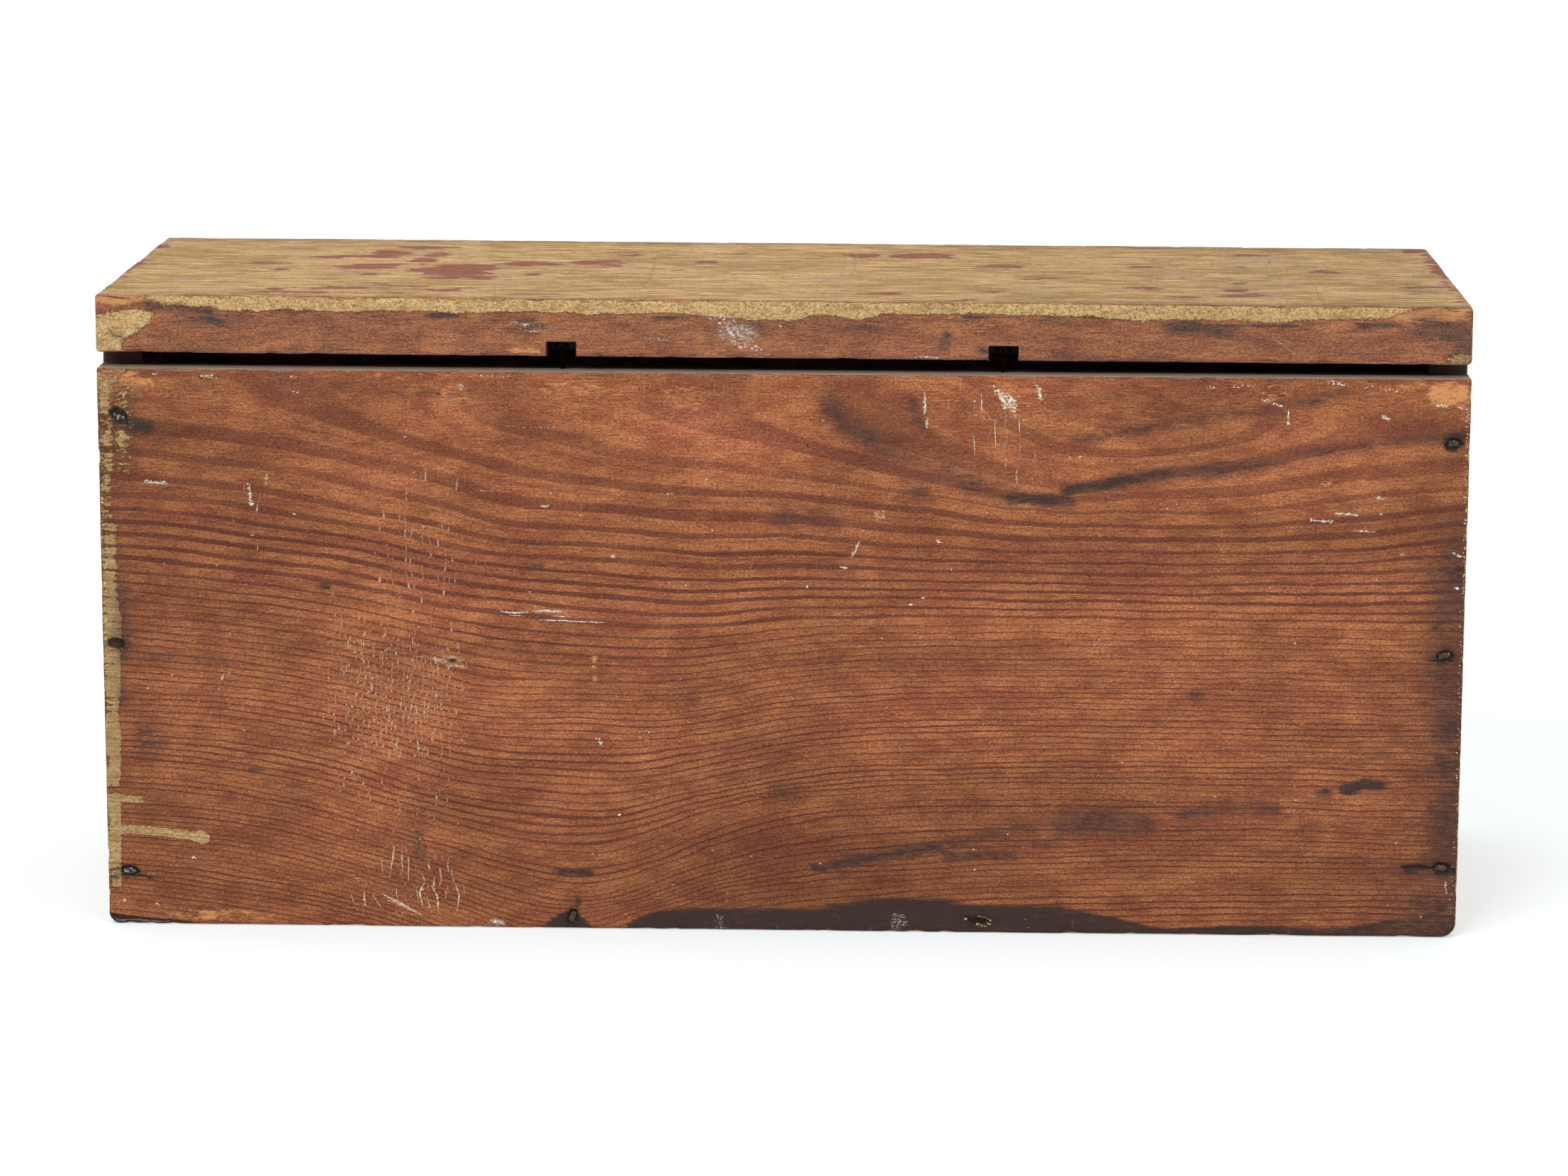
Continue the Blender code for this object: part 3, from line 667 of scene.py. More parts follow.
def patches(x, z, table):
    """Strength of the strongest of several soft round patches."""
    total = np.zeros(len(x))
    for middle, reach, strength in table:
        away = np.hypot((x - middle[0]) / reach[0], (z - middle[1]) / reach[1])
        total = np.maximum(total, strength * smooth(away, 1.1, 0.55))
    return total


def old_hole_depth(x, z, face):
    """The old nail hole in the back, torn wider along the grain."""
    u, v = x - OLD_HOLE[0], z - OLD_HOLE[1] - 0.1 * (x - OLD_HOLE[0])
    bore = 2.4 * smooth(np.hypot(u / 1.15, v / 0.75), 1.15, 0.55)
    tear = 0.35 * smooth(np.hypot(u / 5.0, v / 1.0), 1.1, 0.3)
    return np.maximum(bore, tear) * face * MM


def relief(points, edge, seed):
    """Depth of the plain surface under its solid's face: swells, ripples and chipped edges."""
    swell = SWELL_DEPTH * rough(points, (70 * MM, 40 * MM, 30 * MM), seed)
    ripple = RIPPLE_DEPTH * rough(points, (9 * MM, 5 * MM, 3 * MM), seed + 3)
    near = np.exp(-edge / 1.3)
    chip = smooth(rough(points, (4.5 * MM, 3.0 * MM, 3.0 * MM), seed + 6), 0.56, 0.78)
    return SKIN_DEPTH + swell + ripple + CHIP_DEPTH * chip * near


def face_share(obj, axis, sign):
    """1 on the face that looks along one axis, 0 elsewhere."""
    return smooth(read_points(obj, "normal")[:, axis] * sign, 0.45, 0.8)


def case_board(name, node, steps, windows, seed):
    """A board of the case as a fine skin with rounded, worn edges, before its marks are made."""
    low, high = (np.array(corner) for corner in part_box(node))
    grids = [grid_lines((low[axis], high[axis]), steps[axis], windows[axis]) for axis in range(3)]
    points, quads = skin(grids, np.ones([len(grid) - 1 for grid in grids], bool))
    edge = edge_distance(points, low, high)
    radius = EDGE_ROUND * (0.45 + 1.1 * rough(points, (16 * MM,) * 3, seed))
    points = rounded(points, low, high, radius)
    return mesh_object(name, points, quads), points, edge, low, high


def finish_board(obj, points, depth, low, high):
    """Cuts the relief into a board along its normals, and keeps it within its own box."""
    moved = points - read_points(obj, "normal") * depth[:, None]
    move_points(obj, np.clip(moved, low + BOX_ROOM, high - BOX_ROOM))


def settle_board(obj, worn, amount, top):
    """Rounds the case's worn lower corners on a board and lets its upper edge lean."""
    moved = read_points(obj).astype(float)
    if worn:
        moved = worn_case_bottom(moved)
    if amount:
        lower_right_end(moved, amount, top)
    move_points(obj, moved)


def back_windows():
    """Where the back's skin is finer: round its nails, its old nail hole and its painted edges."""
    edges = [(LEFT_X + 5 * MM, 6 * MM, 0.55 * MM), (RIGHT_X - 5 * MM, 5 * MM, 0.55 * MM)]
    hole_along = [(LEFT_X + OLD_HOLE[0] * MM, 4 * MM, 0.5 * MM)]
    nails_along = [(place, 3.2 * MM, 0.5 * MM) for _, place, _ in nail_places("back") if abs(place) < 0.1]
    nails_up = [(height, 2.2 * MM, 0.42 * MM) for _, _, height in nail_places("back")]
    hole_up = [(OLD_HOLE[1] * MM, 2 * MM, 0.45 * MM)]
    return [edges + hole_along + nails_along, [], nails_up + hole_up]


def store_back(made, points, x, z, rear, iron, paint, stain_and_shade):
    """Keeps what the back's material needs at each point."""
    rings, closeness = back_rings(points)
    bare = np.zeros(len(points)) - NOWHERE
    inward = (points[:, 1] - REAR_Y) / MM
    ledge = face_share(made, 2, 1)
    hole = 0.5 * np.exp(-np.hypot((x - OLD_HOLE[0]) / 4.5, (z - OLD_HOLE[1]) / 0.9)) * rear
    dust = np.maximum(0.75 * ledge * smooth(inward, 8, 5), hole)
    # Painted shadow: the back's top edge beyond its outer few millimetres is stained near black, where the
    # lid shades it
    stain_and_shade = np.maximum(stain_and_shade, 2.0 * ledge * smooth(inward, 4.5, 7.5))
    visible = 1 - 0.28 * smooth(z, 112, 136) - 0.22 * smooth(z, 148, 162) - 0.25 * patches(x, z, SOFT_RINGS)
    gilt = np.where(x > STRIP_REACH, 0.85, np.interp(z, *zip(*STRIP_GILT)))
    store(made, "grain", rings, visible, closeness)
    store(made, "layers", paint, bare, stain_and_shade)
    store(made, "marks", patches(x, z, SCUFF_PATCHES) * rear, iron, dust)
    store(made, "wear", patches(x, z, PALE_PATCHES) * rear, bare, 1 - rear)
    store(made, "tone", back_shade(x, z) * rear + (1 - rear), patches(x, z, WARM_PATCHES) * rear, gilt)
    store(made, "fibre", x, z, inward)


def make_back():
    made, points, edge, low, high = case_board(
        "back_board_wood", "back_board", (BACK_STEP, DEPTH_STEP, BACK_STEP), back_windows(), 11)
    rear = face_share(made, 1, -1)
    x = (points[:, 0] - LEFT_X) / MM
    z = points[:, 2] / MM
    paint = np.where(rear > 0.5, back_paint(x, z), 4.0 - 2.0 * x)
    paint = np.where((rear <= 0.5) & (points[:, 0] > RIGHT_X - 1.0 * MM), 1.5, paint)
    # The stain, with the worn foot's painted shade, also reaches the faces round the worn lower left corner
    stain_and_shade = back_stain_and_shade(x, z) * np.maximum(rear, (z < 4) & (x < 30) & (points[:, 1] < REAR_Y + 3 * MM))
    dents, iron = nail_dents(points, "back", rear)
    depth = relief(points, edge, 21) + dents + old_hole_depth(x, z, rear)
    depth += 0.9 * MM * rear * smooth(np.interp(x, *zip(*WORN_FOOT_PAINTED_SHADE)) - z, -0.2, 1.0)
    depth -= PAINT_THICKNESS * smooth(paint, 0, 0.8) * rear
    finish_board(made, points, depth, low, high)
    settle_board(made, True, BACK_LEAN, high[2])
    store_back(made, points, x, z, rear, iron, paint, stain_and_shade)
    return made


def case_windows(board):
    """Where a board's skin is finer, round its nails."""
    windows = [[], [], []]
    if board:
        axis = 1 - NAIL_DIRECTIONS[board][0]
        windows[axis] = [(place, 2.8 * MM, 0.55 * MM) for _, place, _ in nail_places(board)]
        windows[2] = [(height, 2.0 * MM, 0.5 * MM) for _, _, height in nail_places(board)]
    return windows


def case_grime_and_gap_shade(points, along, low, high, seed):
    """Grime near the foot of a case board, and painted shade stained near black on each end's top near the
    back, in the gap under the lid.
    """
    stain_and_shade = 0.5 * smooth(0.5 - rough(points, (70 * MM, 40 * MM, 8 * MM), seed + 12), 0.0, 0.25)
    stain_and_shade *= smooth(points[:, 2], 26 * MM, 2 * MM)
    if along == 1:
        # Painted shade for the dark gap between the lid and the case
        gap_painted_shade = smooth(points[:, 2], high[2] - 9 * MM, high[2] - 4 * MM)
        stain_and_shade = np.maximum(stain_and_shade, 2.0 * gap_painted_shade * smooth(points[:, 1], low[1] + 34 * MM, low[1] + 6 * MM))
    return stain_and_shade


def make_case_board(name, node, board, along, across, depth_axis, outer_sign, lean_amount, seed):
    """The front, an end or the bottom: the front and ends painted outside and bare inside, the bottom bare
    all over.
    """
    steps = [PLAIN_STEP] * 3
    steps[depth_axis] = DEPTH_STEP
    made, points, edge, low, high = case_board(name, node, steps, case_windows(board), seed)
    heart = (low[across] + high[across]) / 2 / MM + HEART_SHIFT
    rings, closeness = plain_rings(points, along, across, depth_axis, heart, PITH_DEPTH, RING_SPACING, seed)
    outer = face_share(made, depth_axis, outer_sign)
    if board == "front":
        outer = np.maximum(outer, np.maximum(face_share(made, 0, 1), face_share(made, 0, -1)))
    dents, iron = nail_dents(points, board, outer) if board else (0, np.zeros(len(points)))
    paint_edge = rough(points, (16 * MM, 16 * MM, 10 * MM), seed + 2) * 7.0 - 0.6
    paint = np.where(outer > 0.5, np.minimum(6.0, edge - paint_edge * 0.5 + 1.2), BARE)
    finish_board(made, points, relief(points, edge, seed + 4) + dents, low, high)
    settle_board(made, board == "front", lean_amount, high[2])
    primer = (rough(points, (26 * MM, 26 * MM, 18 * MM), seed + 8) - 0.66) * 34
    nothing = np.zeros(len(points))
    dust = 0.4 * face_share(made, 2, 1) if board else nothing + 0.25
    store(made, "grain", rings, nothing + 0.8, closeness)
    stain_and_shade = case_grime_and_gap_shade(points, along, low, high, seed)
    store(made, "layers", paint if board else nothing + BARE, primer, stain_and_shade)
    store(made, "marks", nothing, iron, dust)
    store(made, "wear", nothing, primer + 1.5, 1 - outer)
    store(made, "tone", nothing + 1, 0.9 * np.exp(-edge / 0.8), nothing)
    store(made, "fibre", points[:, along] / MM, points[:, across] / MM, points[:, depth_axis] / MM + seed)
    return made


# The lid, in millimetres from its left end and above its underside (rear face) or from its rear edge

# On the rear face: the foot of the ochre band and the outline of the patch at the left end
REAR_BAND_FOOT = [
    (0, 17.5), (9, 16.6), (15, 15.6), (20, 14), (33, 13), (37, 12), (42, 11.8), (45, 12.3), (48, 11.7),
    (55, 12.7), (70, 12), (85, 12.5), (100, 12.3), (113, 12), (125, 12.7), (135, 12.7), (143, 11.8),
    (165, 12.7), (185, 11.5), (195, 10.7), (203, 10.7), (208, 12.5), (215, 12.5), (222, 11.2), (225, 11.3),
    (230, 13), (250, 13), (275, 13.3), (285, 12.7), (300, 12), (305, 11.5), (312, 12.5), (330, 11.8),
    (345, 12), (360, 12.5), (372, 13), (378, 14.5), (386, 16.5), (400, 19)
]
REAR_LEFT_PATCH = [(0, 10.5), (5, 12.0), (12, 13.4), (17, 12.6), (16, 9), (12, 6), (8.3, 4.4), (8, 0.6)]
# Ellipses on the lid's top where the primer shows, and where the ochre is faded: middle and reach
PRIMER_PATCHES = [
    ((76, 102), (7, 8)), ((71, 94), (8, 5)), ((59, 91), (8, 2.6)), ((89, 97), (4, 8)), ((87, 85), (4, 8)),
    ((76, 73), (9, 5)), ((72, 68), (8, 4)), ((103, 70), (11, 8)), ((95, 64), (10, 6)), ((100, 54), (11, 6)),
    ((106, 47), (7, 4)), ((97, 44), (5, 2.6)), ((121, 80), (9, 5)), ((139, 84), (5, 6)),
    ((144, 86), (4, 4)), ((144, 77), (4, 4)), ((67, 20.5), (10, 2.6)), ((46, 61), (2.2, 2.6)),
    ((2, 114), (2.6, 8)), ((74, 52), (2.6, 2.6)), ((50, 16), (3, 2)), ((43, 74.5), (5, 1.3)),
    ((173, 86), (3, 3)), ((151, 101), (3, 3)), ((123, 55), (3, 2.4)), ((222, 106), (5, 6)),
    ((240, 107), (10, 7)), ((265, 83), (7, 5)), ((279, 56), (7, 2.8)), ((309, 86), (5, 1.8)),
    ((328, 59), (8, 2.6)), ((306, 36), (6, 3.6)), ((334, 34), (5, 6)), ((335, 20), (7, 3)),
    ((362, 77), (5, 4)), ((229, 19), (5, 2.6)), ((258, 25.5), (3.4, 1.4)), ((317, 17), (3, 2.4)),
    ((341, 115), (6, 3)), ((395, 130), (5, 5)), ((386, 30), (3, 2)), ((60, 10), (18, 1.2)),
    ((95, 18), (8, 2)), ((255, 7), (4, 3)), ((84, 26), (5, 1.6)), ((104, 22), (7, 1.4)),
    ((398, 90), (1.6, 40)), ((1, 60), (1.4, 14))
]
FADED_PATCHES = [
    ((44, 102), (8, 6)), ((70, 57), (6, 8)), ((118, 36), (9, 5)), ((154, 78), (6, 5)), ((122, 70), (8, 4)),
    ((100, 107), (4, 9)), ((171, 64), (4, 5)), ((171, 35), (3, 5)), ((185, 88), (5, 4)),
    ((154, 16), (2.4, 4)), ((20, 32), (4, 10)), ((257, 56), (7, 5)), ((275, 25), (8, 8)),
    ((316, 73), (6, 5)), ((293, 88), (5, 3)), ((214, 51), (6, 9)), ((214, 24), (2.4, 8)),
    ((347, 49), (6, 5)), ((276, 48), (3, 4)), ((334, 27), (8, 6)), ((30, 14), (12, 4)),
    ((108, 60), (10, 4)), ((345, 100), (16, 10)), ((235, 108), (14, 8))
]
# Dark smudges on the lid's top: path, half width and strength
LID_DARK = [
    ([(78, 118), (94, 118)], 2.4, 0.95), ([(82, 114.5), (90, 114)], 2.0, 0.8),
    ([(385, 43), (396, 45)], 2.6, 0.85), ([(384, 36), (395, 33)], 3.6, 0.55),
    ([(386, 26), (392, 24)], 2, 0.4), ([(366, 50), (374, 46)], 3.4, 0.42),
    ([(330, 22), (339, 26)], 2.0, 0.75), ([(334, 47), (336, 50)], 2.2, 0.8),
    ([(346, 67.5), (349.5, 67.5)], 1.2, 0.95), ([(337, 87), (338, 88)], 1.6, 0.7),
    ([(325, 108), (327, 112)], 1.6, 0.5), ([(336, 113), (346, 115)], 2.0, 0.5),
    ([(183, 106), (185, 111)], 2.0, 0.5), ([(157, 112), (161, 113)], 2.0, 0.4),
    ([(27, 51), (37, 50)], 1.2, 0.5), ([(38, 94), (40, 94)], 1.4, 0.5), ([(46, 61), (48, 60)], 1.6, 0.7),
    ([(40, 74.5), (47, 74)], 0.8, 0.5), ([(64, 62), (72, 54)], 2.4, 0.4),
    ([(165, 67), (168, 68)], 1.4, 0.75), ([(166, 50.5), (173, 50.5)], 1.0, 0.6),
    ([(146, 44), (150, 34)], 3.2, 0.35), ([(275, 46), (277, 50)], 1.6, 0.7),
    ([(269, 60), (275, 60)], 1.6, 0.6), ([(268, 22), (272, 20)], 2, 0.5), ([(4, 106), (6, 106)], 1.4, 0.5),
    ([(4, 95), (5, 96)], 1.4, 0.5), ([(300, 3), (398, 3)], 3.5, 0.42), ([(6, 3), (200, 2)], 1.6, 0.3),
    ([(40, 14), (46, 17)], 2.4, 0.35), ([(172, 83), (175, 87)], 2.4, 0.4),
    ([(148, 100), (153, 103)], 2.2, 0.35)
]

LID_HEIGHT = 17.3            # of the lid's board, in millimetres
TOP_SQUEEZE = 0.42           # makes the marks on the lid's top broader across the board

# On the lid's rear face: warm and chalky patches, and smudges
LID_WARM = [
    ((388, 14.5), (14, 2.4), 1.0), ((125, 1.8), (6, 2.2), 0.7), ((6, 15.5), (8, 1.8), 0.9),
    ((388, 1), (8, 0.9), 0.4), ((13, 16), (16, 1.2), 0.7)
]
LID_WHITE = [
    ((187, 7.5), (9, 4.2), 0.75), ((243, 0.9), (4, 0.8), 0.8), ((130, 9.2), (5, 1.6), 0.4),
    ((163, 6), (5, 1.2), 0.45)
]
LID_REAR_SMUDGES = [
    ([(248, 8), (247, 4)], 1.9, 0.8), ([(257, 4), (259, 3.2)], 1.5, 0.7),
    ([(386, 12), (396, 9), (398, 3)], 5.5, 0.75), ([(150, 7), (175, 5)], 1.6, 0.45),
    ([(5, 6), (8, 5)], 1.4, 0.6), ([(16, 14), (34, 12.5)], 1.6, 0.75), ([(20, 3), (60, 2)], 2.0, 0.35)
]


def lid_rear_paint(x, z):
    """Depth inside the ochre left on the lid's rear face."""
    foot = np.interp(x, *zip(*REAR_BAND_FOOT))
    foot = foot + 0.7 + 1.1 * (rough(on_line(x), (5, 1, 1), 79) - 0.5)
    band = np.minimum((z - foot) * 2.6, 2.4)
    right_of = np.interp(z, *zip(*[(b, a) for a, b in reversed(REAR_LEFT_PATCH[2:])]))
    top_of = np.interp(x, *zip(*REAR_LEFT_PATCH[:4]))
    patch = np.minimum(np.minimum(right_of - x, top_of - z), 3.0)
    corner = inside_ellipse(x, z, (396.8, 1.8), (3.6, 2.0))
    return np.maximum(np.maximum(band, patch), corner)


def blobs(x, y, table):
    """Depth inside the nearest of several ellipses."""
    best = np.full(len(x), -NOWHERE)
    for middle, reach in table:
        best = np.maximum(best, inside_ellipse(x, y, middle, reach))
    return best


def notch_spans():
    """Where each hinge notch starts and ends along the lid."""
    spans = []
    for side in ("left", "right"):
        low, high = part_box(side + "_lid_hinge_pin")
        spans.append((low.x - NOTCH_ROOM, high.x + NOTCH_ROOM))
    return spans


def lid_skin(low, high):
    """The lid's skin with its two notches cut out."""
    spans = notch_spans()
    x_breaks = [low[0]] + [place for span in spans for place in span] + [high[0]]
    grids = [grid_lines(x_breaks, LID_STEP, [(LEFT_X + 8 * MM, 10 * MM, 0.8 * MM)]),
             grid_lines((low[1], low[1] + NOTCH_DEPTH, high[1]), LID_STEP),
             grid_lines((low[2], low[2] + NOTCH_HEIGHT, high[2]), LID_RISE_STEP)]
    solid = np.ones([len(grid) - 1 for grid in grids], bool)
    for start, end in spans:
        first, last = (np.argmin(np.abs(grids[0] - place)) for place in (start, end))
        inward = np.argmin(np.abs(grids[1] - low[1] - NOTCH_DEPTH))
        upward = np.argmin(np.abs(grids[2] - low[2] - NOTCH_HEIGHT))
        solid[first:last, :inward, :upward] = False
    return skin(grids, solid)


def notch_walls(points, y, z):
    """1 on the walls and the ceiling of the two notches, 0 elsewhere."""
    notch = np.zeros(len(points))
    for start, end in notch_spans():
        inside = (points[:, 0] > start - 0.01 * MM) & (points[:, 0] < end + 0.01 * MM)
        inside &= (y < NOTCH_DEPTH / MM + 0.01) & (z < NOTCH_HEIGHT / MM + 0.01) & (y > 0.3)
        notch = np.maximum(notch, inside)
    return notch


def lid_paint(x, y, z, rear, top, bare):
    """Depth inside the ochre on each of the lid's faces."""
    top_edge = np.minimum(np.minimum(x, LENGTH_MM - x), np.minimum(y, DEPTH_MM - y))
    on_top = np.minimum(top_edge * 1.2 - 0.4, 6.0)
    on_side = np.where(np.abs(x - LENGTH_MM / 2) > LENGTH_MM / 2 - 1, z - 3.0, 0)
    on_side = on_side + np.where(y > DEPTH_MM - 1, z - 3.5, 0)
    paint = np.where(rear > 0.5, lid_rear_paint(x, z), np.where(top > 0.5, on_top, on_side))
    return np.where(bare, BARE, paint)


def lid_stain(points, x, y, z, rear, top):
    """Dark marks on the lid's top, and smudges and grime on its rear face."""
    stain_and_shade = np.zeros(len(points))
    for path, half, strength in LID_DARK:
        near = smooth(path_distance(x, y, path), half * 1.5, half * 0.3)
        stain_and_shade = np.maximum(stain_and_shade, top * strength * near)
    for path, half, strength in LID_REAR_SMUDGES:
        near = smooth(path_distance(x, z, path), half * 1.9, 0)
        stain_and_shade = np.maximum(stain_and_shade, 0.80 * rear * strength * near)
    stain_and_shade = np.maximum(stain_and_shade, 0.45 * top * smooth(y, 118, 137))
    below = np.interp(x, *zip(*REAR_BAND_FOOT)) - z
    cloudy = smooth(rough(points, (24 * MM, FLAT, 5 * MM), 75), 0.42, 0.62)
    mottled = rough(points, (7 * MM, FLAT, 2.5 * MM), 77)
    grime = 0.72 * cloudy * smooth(below, 7, 0.5) + 0.30 * smooth(mottled, 0.4, 0.8)
    return np.maximum(stain_and_shade, rear * (below > 0) * grime)


def lid_shade(x, y, rear, top):
    """Broad light and dark parts of the lid."""
    shade = 1 - 0.20 * np.exp(-y / 5) * top - 0.09 * smooth(x, 220, 330) * top
    return shade + (0.06 - 0.09 * smooth(x, 150, 320)) * rear


def make_lid():
    low, high = np.array(LID_LOW), np.array(LID_HIGH)
    high[2] -= LID_LEAN
    points, quads = lid_skin(low, high)
    edge = edge_distance(points, low, high)
    radius = 1.7 * MM * (0.5 + 0.9 * rough(points, (20 * MM,) * 3, 61))
    points = rounded(points, low, high, radius)
    made = mesh_object("lid_board_wood", points, quads)
    rear = face_share(made, 1, -1)
    top = face_share(made, 2, 1)
    under = face_share(made, 2, -1)
    x = (points[:, 0] - LEFT_X) / MM
    y = (points[:, 1] - REAR_Y) / MM
    z = (points[:, 2] - low[2]) / MM
    notch = notch_walls(points, y, z)
    paint = lid_paint(x, y, z, rear, top, (under > 0.5) | (notch > 0))
    primer = np.where(top > 0.5, blobs(x, y, PRIMER_PATCHES), BARE)
    primer += 4.5 * (rough(points, (7 * MM, 5 * MM, FLAT), 83) - 0.5)
    faded = np.where(top > 0.5, blobs(x, y, FADED_PATCHES), BARE)
    # Painted shade: the notches' walls and ceiling are stained near black for the shadow inside them
    stain_and_shade = np.maximum(lid_stain(points, x, y, z, rear, top), 2.0 * notch)
    depth = relief(points, edge, 71) - PAINT_THICKNESS * smooth(paint, 0, 0.8) * rear
    finish_board(made, points, np.where(notch > 0, 0.02 * MM, depth), low, high)
    moved = read_points(made).astype(float)
    moved[:, 2] += lean(moved, LID_LEAN)
    move_points(made, moved)
    made.data.set_sharp_from_angle(angle=math.radians(60))
    arris = np.exp(-((z - LID_HEIGHT + 0.5) / 0.7) ** 2) * np.exp(-y / 1.4)
    paint -= arris * 4.5 * rough(points, (14 * MM, FLAT, FLAT), 73)
    warm = np.maximum(np.minimum(1, 1.3 * arris), patches(x, z, LID_WARM) * rear)
    rings, closeness = plain_rings(points, 0, 1, 2, 12, -160, 5.2, 67)
    nothing = np.zeros(len(points))
    store(made, "grain", rings, 0.75 - 0.55 * np.maximum(rear, top), closeness)
    store(made, "layers", paint, primer, stain_and_shade)
    store(made, "marks", nothing, nothing, 0.1 * under + 0.20 * rear)
    store(made, "wear", patches(x, z, LID_WHITE) * rear, faded, np.maximum(under, notch))
    store(made, "tone", lid_shade(x, y, rear, top), warm, np.minimum(1, smooth(y, 1.6, 0.6) * (z < 17.2)))
    store(made, "fibre", x, np.where(rear > 0.5, z, TOP_SQUEEZE * y + 40), y * 0.2 + z)
    return made


# Materials

class Graph:
    """A short way to build a tree of shader nodes."""

    def __init__(self, tree):
        self.tree = tree
        self.tree.nodes.clear()

    def node(self, kind, **settings):
        node = self.tree.nodes.new("ShaderNode" + kind)
        for name, value in settings.items():
            setattr(node, name, value)
        return node

    def feed(self, socket, value):
        if isinstance(value, bpy.types.NodeSocket):
            self.tree.links.new(value, socket)
        elif isinstance(value, (tuple, list)) and len(value) == 3 and socket.type == "RGBA":
            socket.default_value = (*value, 1)
        else:
            socket.default_value = value

    def fed(self, node, *values):
        """Feeds a node's first sockets, and gives its first output."""
        for socket, value in zip(node.inputs, values):
            self.feed(socket, value)
        return node.outputs[0]

    def math(self, operation, first, second=0.0, third=0.0, clamp=False):
        return self.fed(self.node("Math", operation=operation, use_clamp=clamp), first, second, third)

    def add(self, first, second):
        return self.math("ADD", first, second)

    def less(self, first, second):
        return self.math("SUBTRACT", first, second)

    def times(self, first, second):
        return self.math("MULTIPLY", first, second)

    def most(self, first, second):
        return self.math("MAXIMUM", first, second)

    def line(self, value, slope, base):
        """The value times a slope, plus a base."""
        return self.math("MULTIPLY_ADD", value, slope, base)

    def near(self, value, level, far, close):
        """1 where a value is close to a level, 0 where it is far from it."""
        return self.span(self.math("ABSOLUTE", self.less(value, level)), far, close)

    def span(self, value, low, high, to_low=0.0, to_high=1.0):
        """The value's soft rise from one level to another."""
        node = self.node("MapRange", interpolation_type="SMOOTHSTEP")
        return self.fed(node, value, low, high, to_low, to_high)

    def mix(self, share, first, second, blend="MIX"):
        node = self.node("Mix", data_type="RGBA", blend_type=blend)
        for place, value in ((0, share), (6, first), (7, second)):
            self.feed(node.inputs[place], value)
        return node.outputs[2]

    def over(self, colour, value, low, high, share, cover):
        """A colour with another laid over it, as far as a value has risen from one level to another."""
        return self.mix(self.span(value, low, high, 0.0, share), colour, cover)

    def veil(self, colour, vector, sizes, detail, roughness, seed, levels, share, cover):
        """A colour with another laid over it where a noise rises."""
        where = self.span(self.noise(vector, sizes, detail, roughness, seed), *levels)
        return self.mix(self.times(where, share), colour, cover)

    def join(self, x, y, z):
        return self.fed(self.node("CombineXYZ"), x, y, z)

    def split(self, vector):
        node = self.node("SeparateXYZ")
        self.feed(node.inputs[0], vector)
        return tuple(node.outputs)

    def stored(self, name):
        return self.split(self.node("Attribute", attribute_name=name).outputs["Vector"])

    def place(self):
        return self.node("TexCoord").outputs["Object"]

    def noise(self, vector, sizes, detail=3.0, roughness=0.55, seed=0.0):
        """Noise from 0 to 1 whose features have the given sizes, in the vector's own units."""
        parts = self.split(vector)
        spread = self.join(*(self.line(part, 1 / size, seed) for part, size in zip(parts, sizes)))
        node = self.node("TexNoise")
        settings = {"Vector": spread, "Scale": 1.0, "Detail": detail, "Roughness": roughness}
        for name, value in settings.items():
            self.feed(node.inputs[name], value)
        return self.fed(self.node("MapRange"), node.outputs["Fac"], *NOISE_LEVELS, 0.0, 1.0)

    def sway(self, vector, sizes, amount, detail=3.0, roughness=0.6, seed=0.0):
        """Noise about zero, up to half the amount each way."""
        return self.line(self.noise(vector, sizes, detail, roughness, seed), amount, -amount / 2)

    def chance(self, value, seed):
        """A repeatable value from 0 to 1 for each whole number."""
        node = self.node("TexWhiteNoise", noise_dimensions="1D")
        self.feed(node.inputs["W"], self.add(value, seed))
        return node.outputs["Value"]

    def scaled(self, colour, share):
        """A colour made darker or lighter by one number."""
        node = self.node("VectorMath", operation="SCALE")
        self.feed(node.inputs[0], colour)
        self.feed(node.inputs["Scale"], share)
        return node.outputs[0]

    def seen(self):
        """1 where the camera sees a thing by itself, in a reflection or through glass."""
        path = self.node("LightPath")
        seen = self.most(path.outputs["Is Camera Ray"], path.outputs["Is Glossy Ray"])
        return self.most(seen, path.outputs["Is Transmission Ray"])


class MaterialGraph(Graph):
    """The nodes of one material."""

    def __init__(self, name):
        self.material = bpy.data.materials.new(name)
        self.material.use_nodes = True
        super().__init__(self.material.node_tree)
        self.output = self.node("OutputMaterial")
        self.shader = self.node("BsdfPrincipled")
        self.feed(self.output.inputs[0], self.shader.outputs[0])

    def set(self, **values):
        """Sets the shader's sockets, named with underscores for spaces."""
        for name, value in values.items():
            self.feed(self.shader.inputs[name.replace("_", " ")], value)

    def bump(self, height, thickness):
        node = self.node("Bump")
        for name, value in (("Strength", 1.0), ("Distance", thickness), ("Height", height)):
            self.feed(node.inputs[name], value)
        self.set(Normal=node.outputs[0])


# Linear colours
EARLY_LIGHT = (0.505, 0.181, 0.071)
EARLY_DEEP = (0.325, 0.098, 0.043)
EARLY_PALE = (0.710, 0.320, 0.135)
EARLY_DARK = (0.175, 0.052, 0.032)
EARLY_RED = (0.310, 0.082, 0.042)
LATE_WOOD = (0.165, 0.044, 0.027)
PORE_BROWN = (0.085, 0.028, 0.018)
TORN_FIBRE = (0.800, 0.430, 0.210)
WORN_ORANGE = (0.880, 0.385, 0.145)
